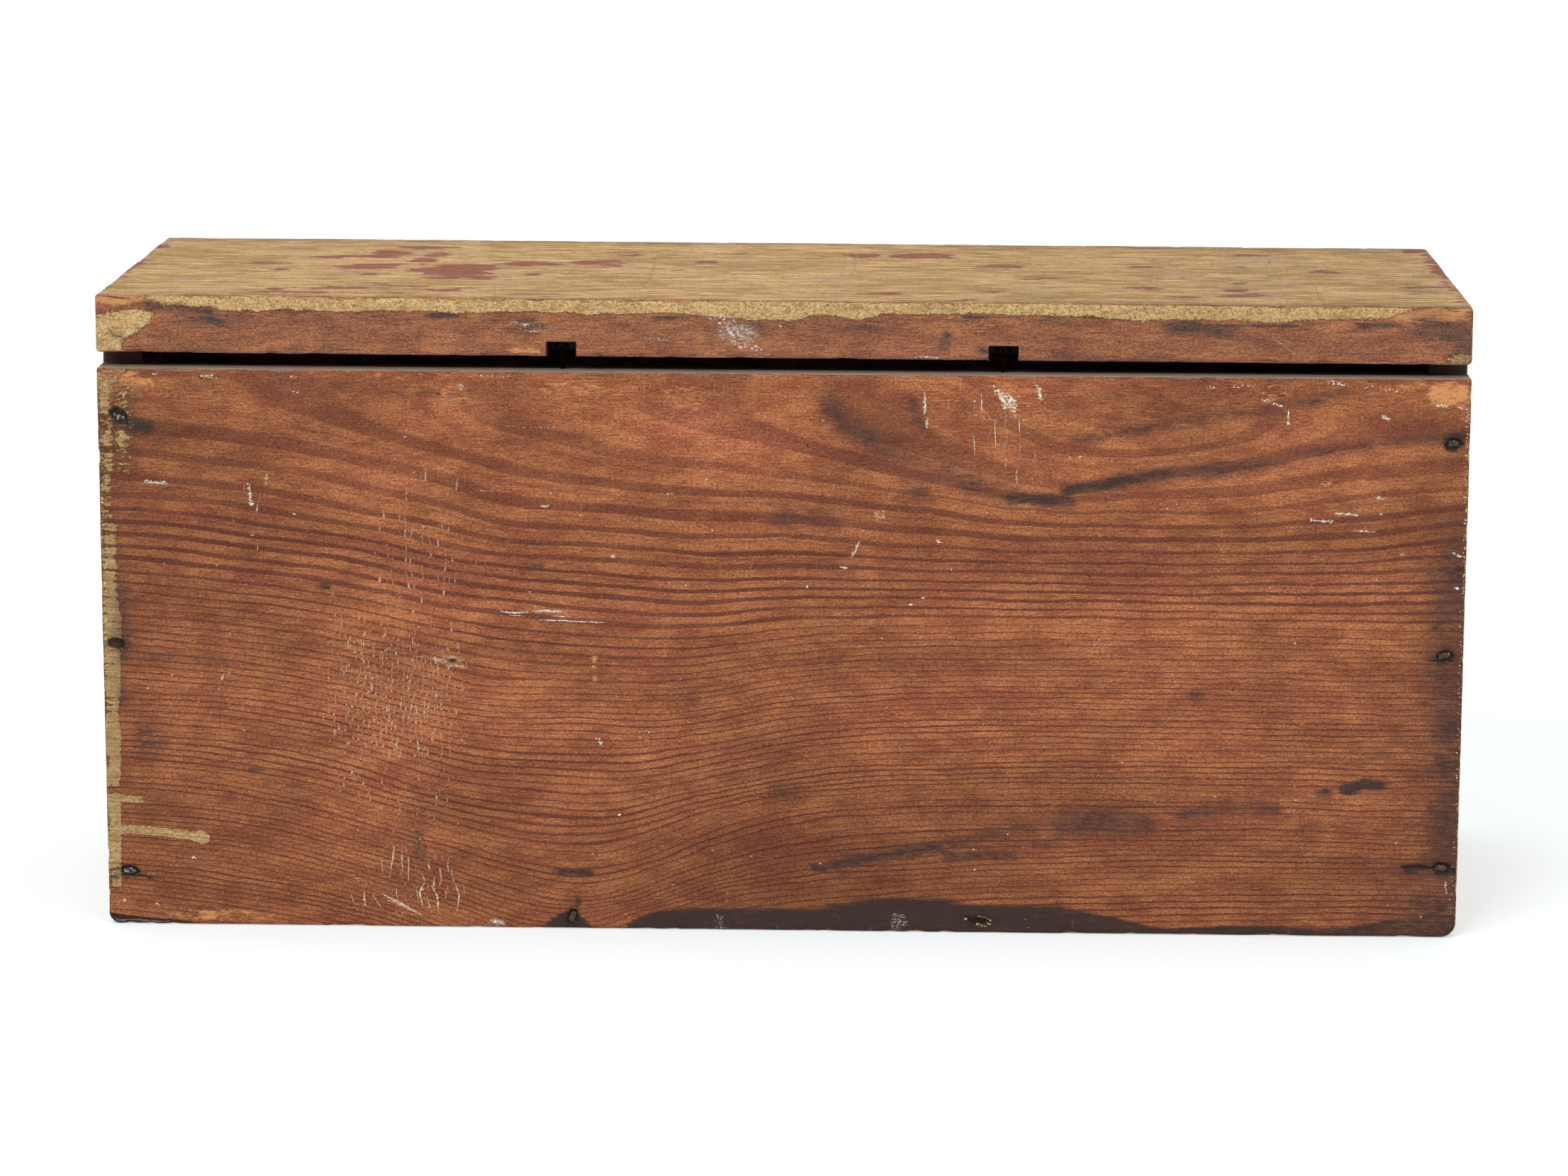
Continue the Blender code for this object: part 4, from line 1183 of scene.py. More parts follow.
# The stain colours also paint shade into the lid's notches, the top edges beside the gap under the lid and
# the worn foot
STAIN_SHADE_SOFT = (0.092, 0.044, 0.036)
STAIN_SHADE_DARK = (0.044, 0.029, 0.027)
PALE_TICK = (0.850, 0.640, 0.440)
CHALK = (0.700, 0.600, 0.500)
DUST_GREY = (0.410, 0.325, 0.255)
IRON_STAIN = (0.020, 0.014, 0.012)
OCHRE_OLIVE = (0.420, 0.255, 0.090)
OCHRE_TAN = (0.630, 0.395, 0.180)
OCHRE_LIGHT = (0.880, 0.610, 0.300)
OCHRE_DIRTY = (0.230, 0.118, 0.050)
GILT_PALE = (0.950, 0.640, 0.305)
GILT_DEEP = (0.600, 0.350, 0.120)
GILT_WORN = (0.520, 0.265, 0.100)
GILT_PIT = (0.120, 0.060, 0.028)
PRIMER_RED = (0.350, 0.122, 0.070)
PRIMER_DEEP = (0.240, 0.080, 0.048)
FADED_PINK = (0.540, 0.350, 0.220)
COAT_GRIME_AND_SHADE = (0.125, 0.075, 0.050)
COAT_BROWN = (0.150, 0.080, 0.045)
COAT_RUBBED = (0.380, 0.190, 0.100)
INSIDE_TINT = (1.06, 1.16, 1.24)
BLACK_IRON = ((0.012, 0.010, 0.009), (0.060, 0.050, 0.045))
RUSTY_IRON = ((0.045, 0.024, 0.016), (0.150, 0.080, 0.050))
BARE_IRON = (0.50, 0.46, 0.42)

TICK_APART = 1.7             # between columns of ticks, in millimetres
NOISE_LEVELS = (0.3, 0.7)    # where Blender's noise mostly lies, spread out to 0 and 1

# Broken veils over the ochre: a noise's sizes, detail, roughness, seed and levels, then share and colour
COAT_VEILS = [
    ((7, 0.42, 0.42), 3.0, 0.7, 33.0, (0.70, 0.95), 0.70, COAT_BROWN),
    ((11, 1.1, 1.4), 5.0, 0.75, 38.0, (0.68, 0.86), 0.62, COAT_RUBBED),
    ((3.4, 0.7, 0.8), 4.0, 0.8, 34.0, (0.78, 0.90), 0.80, COAT_BROWN),
]


def ring_pattern(g, ring, visible, closeness, fibre):
    """Strength of the dark late wood: each ring darkens quickly, then stops at a sharp edge."""
    uneven = g.add(g.sway(fibre, (30, 8, 8), 0.8, 2.0), g.sway(fibre, (2.2, 0.9, 2), 0.20, 3.0))
    turned = g.add(ring, g.times(uneven, closeness))
    number = g.math("FLOOR", turned)
    share = g.less(turned, number)
    onset = g.line(g.chance(number, 3.3), 0.22, g.span(closeness, 0.1, 0.5, 0.40, 0.58))
    rise = g.span(share, onset, g.add(onset, 0.12))
    fall = g.span(share, 1.0, 0.955)
    strength = g.line(g.chance(number, 8.1), 0.35, 0.72)
    patchy = g.line(g.noise(fibre, (34, 5, 12), 3.0, seed=4.0), 0.45, 0.72)
    late = g.times(g.times(rise, fall), g.math("MULTIPLY", strength, patchy, clamp=True))
    hair = g.times(g.near(share, 0.20, 0.07, 0.02), g.math("GREATER_THAN", g.chance(number, 12.4), 0.6))
    return g.times(g.most(late, g.times(hair, 0.40)), visible), number


def bare_wood(g, fibre, late, visible, shade, warm):
    """Aged pine: gritty, mottled early wood, dark late wood, pores and torn fibres."""
    blotch = g.noise(fibre, (13, 6, 9), 4.0, 0.66, seed=9.0)
    early = g.mix(g.span(blotch, 0.10, 0.90), EARLY_DEEP, EARLY_LIGHT)
    early = g.over(early, g.noise(fibre, (45, 20, 20), 4.0, 0.6, seed=51.0), 0.50, 0.90, 0.65, EARLY_RED)
    streak = g.noise(fibre, (6, 0.5, 0.8), 4.0, 0.75)
    early = g.over(early, streak, 0.55, 1.0, 0.50, EARLY_PALE)
    early = g.over(early, streak, 0.45, 0.0, 0.60, EARLY_DARK)
    wood = g.mix(g.times(late, 0.94), early, LATE_WOOD)
    grit = g.noise(fibre, (0.85, 0.50, 0.5), 4.0, 0.9, seed=6.0)
    wood = g.scaled(wood, g.span(grit, 0.0, 1.0, 0.34, 1.66))
    pores = g.span(g.noise(fibre, (1.9, 0.30, 0.4), 3.0, 0.65, seed=2.0), 0.76, 0.92)
    wood = g.mix(g.times(pores, 0.65), wood, PORE_BROWN)
    wood = g.veil(wood, fibre, (2.2, 0.32, 0.4), 3.0, 0.65, 17.0, (0.84, 1.0), 0.60, TORN_FIBRE)
    hairs = g.span(g.noise(fibre, (8, 0.30, 0.5), 3.0, 0.7, seed=7.0), 0.62, 0.86)
    wood = g.mix(g.times(hairs, g.span(visible, 1.0, 0.3, 0.30, 0.85)), wood, PORE_BROWN)
    cloud = g.span(g.noise(fibre, (60, 26, 30), 3.0, 0.6, seed=1.0), 0.1, 0.9, 0.84, 1.16)
    wood = g.scaled(wood, g.times(cloud, shade))
    warmth = g.add(warm, g.sway(fibre, (4, 1.2, 2), 1.1, 4.0, 0.7, 19.0))
    worn = g.times(g.span(warmth, 0.30, 0.95, 0.0, 0.85), g.span(warm, 0.02, 0.2))
    wood = g.mix(worn, wood, g.scaled(WORN_ORANGE, g.span(grit, 0.0, 1.0, 0.7, 1.2)))
    return wood, streak, pores, grit


def stained_and_shaded_wood(g, fibre, wood, stain_and_shade):
    """Water stains and grime, and the painted shade carried with them: a soft brown spread, and a core that
    breaks up into clots and hairs.
    """
    soft = g.span(g.add(stain_and_shade, g.sway(fibre, (7, 4, 4), 0.40, 4.0, 0.65, 13.0)), 0.05, 0.75)
    soft = g.times(soft, g.span(stain_and_shade, 0.0, 0.12))
    wood = g.mix(g.times(soft, 0.66), wood, STAIN_SHADE_SOFT)
    clots = g.sway(fibre, (3.2, 1.0, 2), 0.80, 5.0, 0.8, 12.0)
    clots = g.add(clots, g.sway(fibre, (13, 7, 6), 0.40, 2.0, 0.5, 14.0))
    core = g.add(g.add(stain_and_shade, clots), g.sway(fibre, (5, 0.35, 2), 0.30, 3.0, 0.7, 16.0))
    core = g.times(g.span(core, 0.36, 0.90), g.span(stain_and_shade, 0.12, 0.45))
    return g.mix(g.times(core, 0.88), wood, STAIN_SHADE_DARK), g.most(g.times(soft, 0.6), core)


def scratched_wood(g, fibre, wood, number, late, scuff, pale):
    """Short pale ticks that cross the rings in rough columns, and chalky rubbed patches."""
    bent = g.add(g.split(fibre)[0], g.sway(fibre, (11, 16, 9), 2.4, 1.0, 0.5, 41.0))
    column = g.add(g.math("DIVIDE", bent, TICK_APART), g.times(g.chance(number, 21.0), 0.45))
    whole = g.math("FLOOR", column)
    off = g.math("ABSOLUTE", g.less(g.less(column, whole), 0.5))

    def lot(step, seed):
        """A repeatable value for one tick, by its column and its ring."""
        return g.chance(g.add(g.times(whole, step), number), seed)

    chosen = lot(57.0, 2.7)
    width = g.line(lot(31.0, 6.1), 0.13, 0.03)
    line = g.span(g.less(off, width), 0.06, -0.03)
    chosen_here = g.span(g.less(g.times(scuff, 0.80), chosen), -0.03, 0.08)
    broken = g.span(g.noise(fibre, (1.1, 1.3, 2), 3.0, 0.6, seed=15.0), 0.20, 0.55)
    ticks = g.times(g.times(line, chosen_here), g.times(broken, g.line(late, 0.92, 0.12)))
    wood = g.mix(g.times(ticks, g.line(lot(13.0, 9.4), 0.50, 0.50)), wood, PALE_TICK)
    chalk = g.add(pale, g.sway(fibre, (1.4, 0.6, 1.4), 1.7, 5.0, 0.8, 18.0))
    chalky = g.times(g.span(chalk, 0.55, 1.15), g.span(pale, 0.02, 0.30))
    return g.mix(g.times(chalky, 0.72), wood, CHALK), g.most(ticks, chalky)


def thick_paint(g, place):
    """Ochre where it lies thick: pale and pitted, worn in places and crazed."""
    grain = g.noise(place, (0.8 * MM, 0.8 * MM, 0.6 * MM), 5.0, 0.85, seed=24.5)
    thick = g.mix(g.span(grain, 0.30, 0.55), GILT_DEEP, GILT_PALE)
    worn = g.noise(place, (4.0 * MM, 4.0 * MM, 1.8 * MM), 5.0, 0.7, seed=25.0)
    thick = g.over(thick, worn, 0.50, 0.12, 0.85, GILT_WORN)
    pits = g.noise(place, (1.0 * MM, 1.0 * MM, 0.5 * MM), 4.0, 0.8, seed=26.0)
    thick = g.over(thick, pits, 0.32, 0.20, 0.95, GILT_PIT)
    cracks = g.near(g.noise(place, (2.0 * MM, 2.0 * MM, 1.4 * MM), 3.0, 0.6, seed=28.0), 0.5, 0.055, 0.015)
    cracks = g.times(cracks, g.span(worn, 0.35, 0.75))
    return g.mix(g.times(cracks, 0.80), thick, GILT_PIT), grain


def paint_coat(g, fibre, place, primer, faded, gilt, crumb):
    """The ochre coat: streaked along the boards, pale and pitted where it is thick, over a red primer."""
    cloud = g.noise(fibre, (30, 8, 14), 4.0, 0.65, seed=27.0)
    coat = g.mix(g.span(cloud, 0.10, 0.90), OCHRE_OLIVE, OCHRE_TAN)
    brush = g.noise(fibre, (17, 0.85, 0.85), 5.0, 0.78, seed=30.0)
    coat = g.over(coat, brush, 0.52, 0.84, 0.85, OCHRE_LIGHT)
    coat = g.over(coat, brush, 0.48, 0.16, 0.95, OCHRE_DIRTY)
    for veil in COAT_VEILS:
        coat = g.veil(coat, fibre, *veil)
    thick, grain = thick_paint(g, place)
    coat = g.mix(gilt, coat, thick)
    ragged = g.sway(fibre, (12, 2.4, 5), 10.0, 6.0, 0.72, 21.5)
    coat = g.mix(g.times(g.span(g.add(faded, ragged), -1.0, 1.2), 0.45), coat, FADED_PINK)
    bare_edge = g.add(g.add(primer, g.times(ragged, 0.8)), g.line(crumb, 1.2, -0.6))
    halo = g.times(g.span(bare_edge, -2.2, -0.4), g.span(bare_edge, 1.2, 0.0))
    coat = g.mix(g.times(halo, 0.45), coat, FADED_PINK)
    primer_mix = g.span(g.noise(fibre, (7, 1.2, 2), 4.0, seed=36.0), 0.1, 0.9)
    bare = g.span(bare_edge, -0.2, 0.5)
    return g.mix(bare, coat, g.mix(primer_mix, PRIMER_DEEP, PRIMER_RED)), bare, grain, brush


def board_material(name):
    """One board: aged pine with its marks, under worn paint where the board has any."""
    g = MaterialGraph(name)
    place = g.place()
    ring, visible, closeness = g.stored("grain")
    paint, primer, stain_and_shade = g.stored("layers")
    scuff, iron, dust = g.stored("marks")
    pale, faded, inner = g.stored("wear")
    shade, warm, gilt = g.stored("tone")
    fibre = g.join(*g.stored("fibre"))

    late, number = ring_pattern(g, ring, visible, closeness, fibre)
    wood, streak, pores, grit = bare_wood(g, fibre, late, visible, shade, warm)
    wood = g.mix(inner, wood, g.mix(1.0, wood, INSIDE_TINT, "MULTIPLY"))
    # Stains and grime, and painted shade where boards are stained near black for shadow
    wood, stain_and_shade_share = stained_and_shaded_wood(g, fibre, wood, stain_and_shade)
    wood, scratches = scratched_wood(g, fibre, wood, number, late, scuff, pale)
    dusty = g.add(dust, g.line(grit, 0.5, -0.25))
    wood = g.mix(g.times(g.span(dusty, 0.1, 0.8), g.span(dust, 0.0, 0.15)), wood, DUST_GREY)
    rust = g.add(iron, g.sway(fibre, (1.6, 0.6, 1), 0.35, 3.0, 0.6, 44.0))
    rust = g.times(g.span(rust, 0.10, 0.80), g.span(iron, 0.0, 0.15))

    crumb = g.noise(place, (0.9 * MM, 0.9 * MM, 0.6 * MM), 4.0, 0.75, seed=24.0)
    lies = g.add(paint, g.sway(fibre, (5.0, 1.2, 1.5), 1.8, 5.0, 0.7, 21.0))
    lies = g.line(late, -0.8, g.add(lies, g.line(crumb, 2.2, -1.1)))
    covered = g.span(lies, -0.15, 0.15)
    wood = g.mix(g.times(g.span(lies, -1.3, -0.2), 0.50), wood, PORE_BROWN)
    wood = g.mix(g.times(rust, 0.97), wood, IRON_STAIN)
    coat, bare, grain, brush = paint_coat(g, fibre, place, primer, faded, gilt, crumb)
    coat = g.scaled(coat, g.times(g.most(shade, gilt), g.span(grit, 0.0, 1.0, 0.72, 1.28)))
    coat = g.mix(g.times(late, g.line(gilt, 0.50, 0.08)), coat, OCHRE_DIRTY)
    # Grime on the paint, and painted shade where the stain values carry it
    coat = g.mix(g.times(stain_and_shade_share, 0.90), coat, COAT_GRIME_AND_SHADE)
    coat = g.mix(g.times(rust, 0.9), coat, IRON_STAIN)

    g.set(Base_Color=g.mix(covered, wood, coat),
          Roughness=g.line(covered, 0.08, g.line(late, -0.08, g.line(grit, 0.20, 0.58))),
          Specular_IOR_Level=0.16)
    height = g.line(late, 0.05, g.times(streak, 0.05))
    for relief_of, share in ((pores, -0.06), (grit, 0.09), (scratches, -0.05)):
        height = g.line(relief_of, share, height)
    coat_height = g.line(g.times(grain, gilt), 0.18, g.line(brush, 0.06, 0.10))
    height = g.line(covered, coat_height, height)
    g.bump(g.line(g.times(covered, bare), -0.06, height), 1.0 * MM)
    return g.material


def iron_material(name, painted_lightness):
    """Old iron, browned and pitted, with some bare metal where it is rubbed; the lightness share darkens
    its colour and sheen, as painted shade for iron in shadow.
    """
    g = MaterialGraph(name)
    place = g.place()
    shine, brown, _ = g.stored("tone")
    pits = g.noise(place, (0.45 * MM,) * 3, 4.0, 0.7)
    broad = g.noise(place, (1.2 * MM,) * 3, 3.0, 0.6, seed=3.0)
    black = g.mix(g.span(pits, 0.40, 0.60), *(tuple(part * painted_lightness for part in iron) for iron in BLACK_IRON))
    colour = g.mix(brown, black, g.mix(g.span(pits, 0.40, 0.62), *RUSTY_IRON))
    bare = g.times(g.span(g.add(broad, g.times(pits, 0.5)), 0.86, 1.06), shine)
    g.set(Base_Color=g.mix(bare, colour, BARE_IRON), Metallic=g.times(bare, 0.3),
          Roughness=g.line(pits, 0.3, 0.5), Specular_IOR_Level=0.25 * painted_lightness)
    g.bump(g.times(pits, 0.25), 0.4 * MM)
    return g.material


def speck_material(name, light, dark):
    """Dried specks on the boards: paint, plaster or torn pale wood."""
    g = MaterialGraph(name)
    place = g.place()
    tint = g.noise(place, (1.5 * MM,) * 3, 3.0, 0.6)
    grit = g.noise(place, (0.3 * MM,) * 3, 3.0, 0.7, seed=2.0)
    colour = g.mix(g.span(tint, 0.42, 0.58), dark, light)
    g.set(Base_Color=g.over(colour, grit, 0.54, 0.66, 0.6, dark), Roughness=g.line(grit, 0.3, 0.6),
          Specular_IOR_Level=0.15)
    g.bump(g.times(grit, 0.2), 0.3 * MM)
    return g.material


# Nails

NAIL_SIDES = 24
NAIL_SQUARENESS = (0.62, 0.4)    # powers that square off the head and the shank
NAIL_DENT = 0.16 * MM
NAIL_DENTED_RINGS = 5
NAIL_RAGGEDNESS = 0.09
# Rings of a nail's head from its middle to the shank: share of the head's size, and depth in millimetres
NAIL_RINGS = [(0.35, 0.02), (0.70, 0.04), (0.88, 0.12), (0.97, 0.28), (1.0, 0.5), (0.98, 0.8), (0.9, 1.05)]


def nail_rings(half_width, half_height, sink, length):
    """Half width, half height and depth of each ring, from the head's middle to the shank's tip."""
    head = [(share * half_width, share * half_height, (depth + sink) * MM) for share, depth in NAIL_RINGS]
    return head + [(1.0 * MM, 0.75 * MM, (1.4 + sink) * MM), (0.5 * MM, 0.5 * MM, length * 0.995)]


def nail_ring(level, wide, tall, seed):
    """Steps round one ring: how far across and up, and how much deeper a hammer's dent is."""
    power = NAIL_SQUARENESS[level >= len(NAIL_RINGS)]
    for step in range(NAIL_SIDES):
        angle = 2 * math.pi * step / NAIL_SIDES
        across = math.copysign(abs(math.cos(angle)) ** power, math.cos(angle)) * wide
        up = math.copysign(abs(math.sin(angle)) ** power, math.sin(angle)) * tall
        shrink = 1 - NAIL_RAGGEDNESS * float(lattice(step // 2, level, seed, 9))
        dented = level < NAIL_DENTED_RINGS
        yield across, up, shrink, NAIL_DENT * float(lattice(step // 2, level // 2, seed, 5)) * dented


def join_rings(bm, loops):
    """Walls from ring to ring, closed at both ends."""
    for upper, lower in zip(loops, loops[1:]):
        for step in range(NAIL_SIDES):
            after = (step + 1) % NAIL_SIDES
            bm.faces.new((upper[step], upper[after], lower[after], lower[step]))
    bm.faces.new(loops[0])
    bm.faces.new(list(reversed(loops[-1])))


def make_nail(node, material):
    """One hand-cut nail: a hammered oblong head on a tapering square shank."""
    axis, sign = NAIL_DIRECTIONS[node.split("_nail_")[0]]
    tilt, sink, _, _, shine, brown = nail_look(node)
    turn = math.radians(tilt)
    low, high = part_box(node)
    side = 1 - axis
    head = (low + high) / 2
    head[axis] = high[axis] if sign > 0 else low[axis]
    length = high[axis] - low[axis]
    seed = NAIL_NODES.index(node)
    bm = bmesh.new()
    loops = []
    rings = nail_rings((high[side] - low[side]) / 2, (high.z - low.z) / 2 * 0.88, sink, length)
    for level, (wide, tall, depth) in enumerate(rings):
        loop = []
        for across, up, shrink, dent in nail_ring(level, wide, tall, seed):
            place = head.copy()
            place[side] += (across * math.cos(turn) - up * math.sin(turn)) * shrink
            place.z += (up * math.cos(turn) + across * math.sin(turn)) * shrink
            place[axis] -= sign * min(depth + dent, length)
            loop.append(bm.verts.new(place))
        loops.append(loop)
    join_rings(bm, loops)
    made = object_from(bm, node + "_iron", material)
    made.data.set_sharp_from_angle(angle=math.radians(55))
    nothing = np.zeros(len(made.data.vertices))
    store(made, "tone", nothing + shine, nothing + brown, nothing)
    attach(made, "case")
    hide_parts(node)
    return made


# Specks and scratches, as thin raised flakes on a board's own face

# On the back: path in millimetres, spread, number of flakes and their size
PALE_SPECKS = [
    ([(13.5, 133.8), (20.5, 133.4)], 0.45, 34, 0.2), ([(44.3, 133.4), (44.8, 127.5)], 0.45, 24, 0.2),
    ([(44.6, 127.4), (45.6, 127.3)], 0.3, 8, 0.28), ([(44.6, 118), (45.2, 118.1)], 0.25, 6, 0.3),
    ([(57.3, 124.5), (57.6, 124.6)], 0.15, 3, 0.22), ([(90, 147.5), (90.2, 147.6)], 0.15, 3, 0.22),
    ([(106, 163.3), (107.3, 162.6), (106.6, 161.6), (105.8, 163)], 0.18, 16, 0.16),
    ([(130, 127.5), (132, 127.4)], 0.22, 12, 0.26), ([(152.3, 35), (152.8, 35.1)], 0.25, 5, 0.26),
    ([(145.8, 58.3), (147.2, 57), (147, 56)], 0.35, 14, 0.18),
    ([(171.8, 104.3), (172.4, 104.3)], 0.2, 4, 0.24), ([(150.3, 112.8), (151.6, 112.6)], 0.35, 8, 0.22),
    ([(222.7, 117.6), (221.8, 115), (220.3, 113)], 0.3, 20, 0.2),
    ([(217.4, 110.1), (219.3, 110)], 0.25, 10, 0.2), ([(245.6, 118.2), (246.8, 117.8)], 0.25, 7, 0.2),
    ([(207.5, 104.3), (208, 104.3)], 0.2, 4, 0.22), ([(237.8, 99), (238.3, 99.1)], 0.2, 4, 0.22),
    ([(241.2, 101), (241.8, 101)], 0.2, 4, 0.2), ([(284, 143.3), (284.3, 143.3)], 0.15, 3, 0.2),
    ([(286.6, 143.3), (287.4, 143.3)], 0.2, 4, 0.2), ([(312.3, 128.2), (312.8, 128.2)], 0.15, 3, 0.2),
    ([(350.2, 88.5), (350.8, 88.5)], 0.2, 4, 0.2), ([(380.6, 115.2), (381.6, 115.2)], 0.2, 5, 0.2),
    ([(36, 77), (35, 74.5)], 0.3, 8, 0.16), ([(34.6, 73), (34.2, 71)], 0.25, 6, 0.16),
    ([(111, 131.9), (116, 131.8)], 0.2, 14, 0.15), ([(120, 150.8), (134, 150.6)], 0.2, 15, 0.12),
    ([(165, 131.5), (169, 131.5)], 0.25, 12, 0.15), ([(117.5, 95.9), (125.5, 95.7)], 0.25, 34, 0.17),
    ([(127, 96), (136, 96)], 0.22, 30, 0.15), ([(129, 93.4), (147, 93)], 0.25, 44, 0.14),
    ([(262.5, 163), (264.5, 160.5), (266, 157.5)], 1.3, 70, 0.26),
    ([(266, 161), (268.5, 157)], 0.9, 36, 0.24), ([(241.6, 161), (241.9, 156)], 0.35, 28, 0.2),
    ([(242.5, 154.5), (242.2, 151.5)], 0.4, 14, 0.16), ([(274.3, 164.2), (275.3, 160)], 0.6, 26, 0.2),
    ([(256, 160), (256.5, 155)], 0.4, 12, 0.14), ([(259, 155), (271, 154.5)], 0.9, 26, 0.13),
    ([(347, 157.5), (347.1, 154)], 0.18, 16, 0.17), ([(346.7, 153.8), (347.4, 153.5)], 0.3, 10, 0.26),
    ([(342.5, 159.3), (345.5, 158.4)], 0.35, 14, 0.2), ([(339, 160.5), (341.5, 160.3)], 0.3, 10, 0.2),
    ([(331, 164.6), (338, 164.3)], 0.5, 18, 0.18), ([(323, 164), (326, 163.8)], 0.35, 10, 0.16),
    ([(358, 165.8), (363, 165.3)], 0.5, 20, 0.24), ([(368, 164.6), (379, 163.4)], 0.6, 22, 0.16),
    ([(374.2, 155.6), (376, 155.3)], 0.55, 12, 0.3), ([(372.6, 132), (376, 131.8)], 0.35, 14, 0.2),
    ([(354, 125.2), (361, 124.8)], 0.4, 30, 0.18), ([(361, 127.4), (368, 126.8)], 0.35, 28, 0.18),
    ([(367, 122.2), (373, 121.8)], 0.3, 16, 0.16), ([(374, 127), (374.8, 127)], 0.2, 4, 0.2),
    ([(396.2, 115.4), (398.2, 114.6)], 0.5, 14, 0.26), ([(396.6, 105.6), (397.6, 105.2)], 0.3, 7, 0.26),
    ([(396.3, 17.4), (396.7, 13.6)], 0.3, 14, 0.22), ([(389.3, 6.6), (389.8, 6.4)], 0.2, 4, 0.24),
    ([(4.6, 7.6), (5.4, 7.4)], 0.3, 5, 0.24), ([(14.6, 6.1), (15.4, 5.9)], 0.3, 5, 0.22),
    ([(25.5, 20.8), (26.5, 20.6)], 0.3, 5, 0.26), ([(114, 2), (118.5, 1.6)], 0.6, 22, 0.26),
    ([(31, 165.4), (35, 164.9)], 0.5, 18, 0.2), ([(56, 165.5), (59, 165)], 0.4, 12, 0.18),
    ([(57.3, 160.6), (60, 160.5)], 0.3, 8, 0.16), ([(111, 166), (121, 165.6)], 0.3, 14, 0.16),
    ([(17, 165.8), (18.3, 165.6)], 0.35, 6, 0.26), ([(389.5, 159.3), (393, 158.9)], 0.3, 14, 0.2),
    ([(396, 158.8), (399, 158.2)], 0.3, 12, 0.2), ([(293, 88.5), (296, 84)], 1.2, 10, 0.16),
    ([(93, 15), (96, 5)], 0.6, 12, 0.18), ([(181.5, 4.5), (182.5, 0.8)], 0.9, 12, 0.16),
    ([(233, 5.3), (237.5, 4.8)], 0.5, 12, 0.16), ([(233, 3.3), (237.5, 2.8)], 0.5, 10, 0.16)
]
TAN_SPECKS = [
    ([(98, 81.4), (101.5, 81)], 0.45, 40, 0.24), ([(101, 82), (103.5, 82.3), (106, 81.2)], 0.4, 40, 0.22),
    ([(101.5, 79.9), (104.5, 79.4), (107.5, 79)], 0.35, 34, 0.22),
    ([(96, 81.6), (99, 81.5)], 0.2, 12, 0.14),
    ([(259, 5.0), (261.6, 4.6), (262.2, 3.2), (260.6, 2.1), (258.6, 2.4)], 0.35, 46, 0.26),
    ([(254.9, 4.4), (255.3, 3.7)], 0.2, 7, 0.26), ([(258.3, 69), (259, 66)], 0.22, 8, 0.14),
    ([(259.5, 64), (261, 60)], 0.22, 9, 0.14), ([(261.5, 58.5), (264, 54)], 0.22, 10, 0.14),
    ([(264.6, 52.5), (268, 48)], 0.22, 9, 0.13), ([(269, 46.5), (274.5, 41.5)], 0.22, 9, 0.13),
    ([(235, 57.5), (236, 54)], 0.22, 7, 0.13), ([(184.3, 12), (184.6, 8)], 0.25, 7, 0.14),
    ([(145, 83), (145.2, 78)], 0.5, 14, 0.2), ([(159, 61), (159.2, 48)], 0.6, 20, 0.17),
    ([(227.6, 126.8), (227.8, 124.4)], 0.35, 12, 0.2), ([(230, 126.8), (230.2, 124.4)], 0.35, 12, 0.2),
    ([(49.3, 135.8), (49.6, 133)], 0.4, 16, 0.24), ([(338, 64.2), (372, 63.6)], 0.5, 46, 0.12),
    ([(330, 60), (362, 59.6)], 0.5, 30, 0.11), ([(275, 60), (290, 60)], 0.4, 14, 0.11),
    ([(6.5, 158.5), (9.5, 161)], 1.0, 26, 0.22), ([(8, 156), (10.5, 150)], 0.8, 26, 0.2),
    ([(0.6, 166), (3, 160)], 0.9, 40, 0.24), ([(33, 126), (60, 120)], 3.0, 8, 0.12)
]
GOLD_EDGE = [
    ([(399, 158), (399.3, 100)], 0.5, 120, 0.22), ([(398.8, 100), (399.2, 30)], 0.5, 70, 0.18),
    ([(398.6, 30), (398, 8)], 0.5, 24, 0.16), ([(0.8, 150), (1.0, 60)], 0.6, 150, 0.24)
]
DARK_SPECKS = [
    ([(99.4, 160.4), (100.4, 160.2)], 0.2, 6, 0.2), ([(30.5, 164.6), (31.5, 164.4)], 0.3, 7, 0.22),
    ([(124.6, 110.3), (125.6, 110.2)], 0.2, 5, 0.16), ([(288, 109), (291, 107.5)], 0.4, 12, 0.16),
    ([(66, 103), (67, 102.4)], 0.5, 14, 0.22), ([(147.6, 21), (148, 20.6)], 0.2, 4, 0.18)
]
SCUFF_COLUMNS = (210, (64, 108), (50, 88))       # number of long ticks, and their span along and up
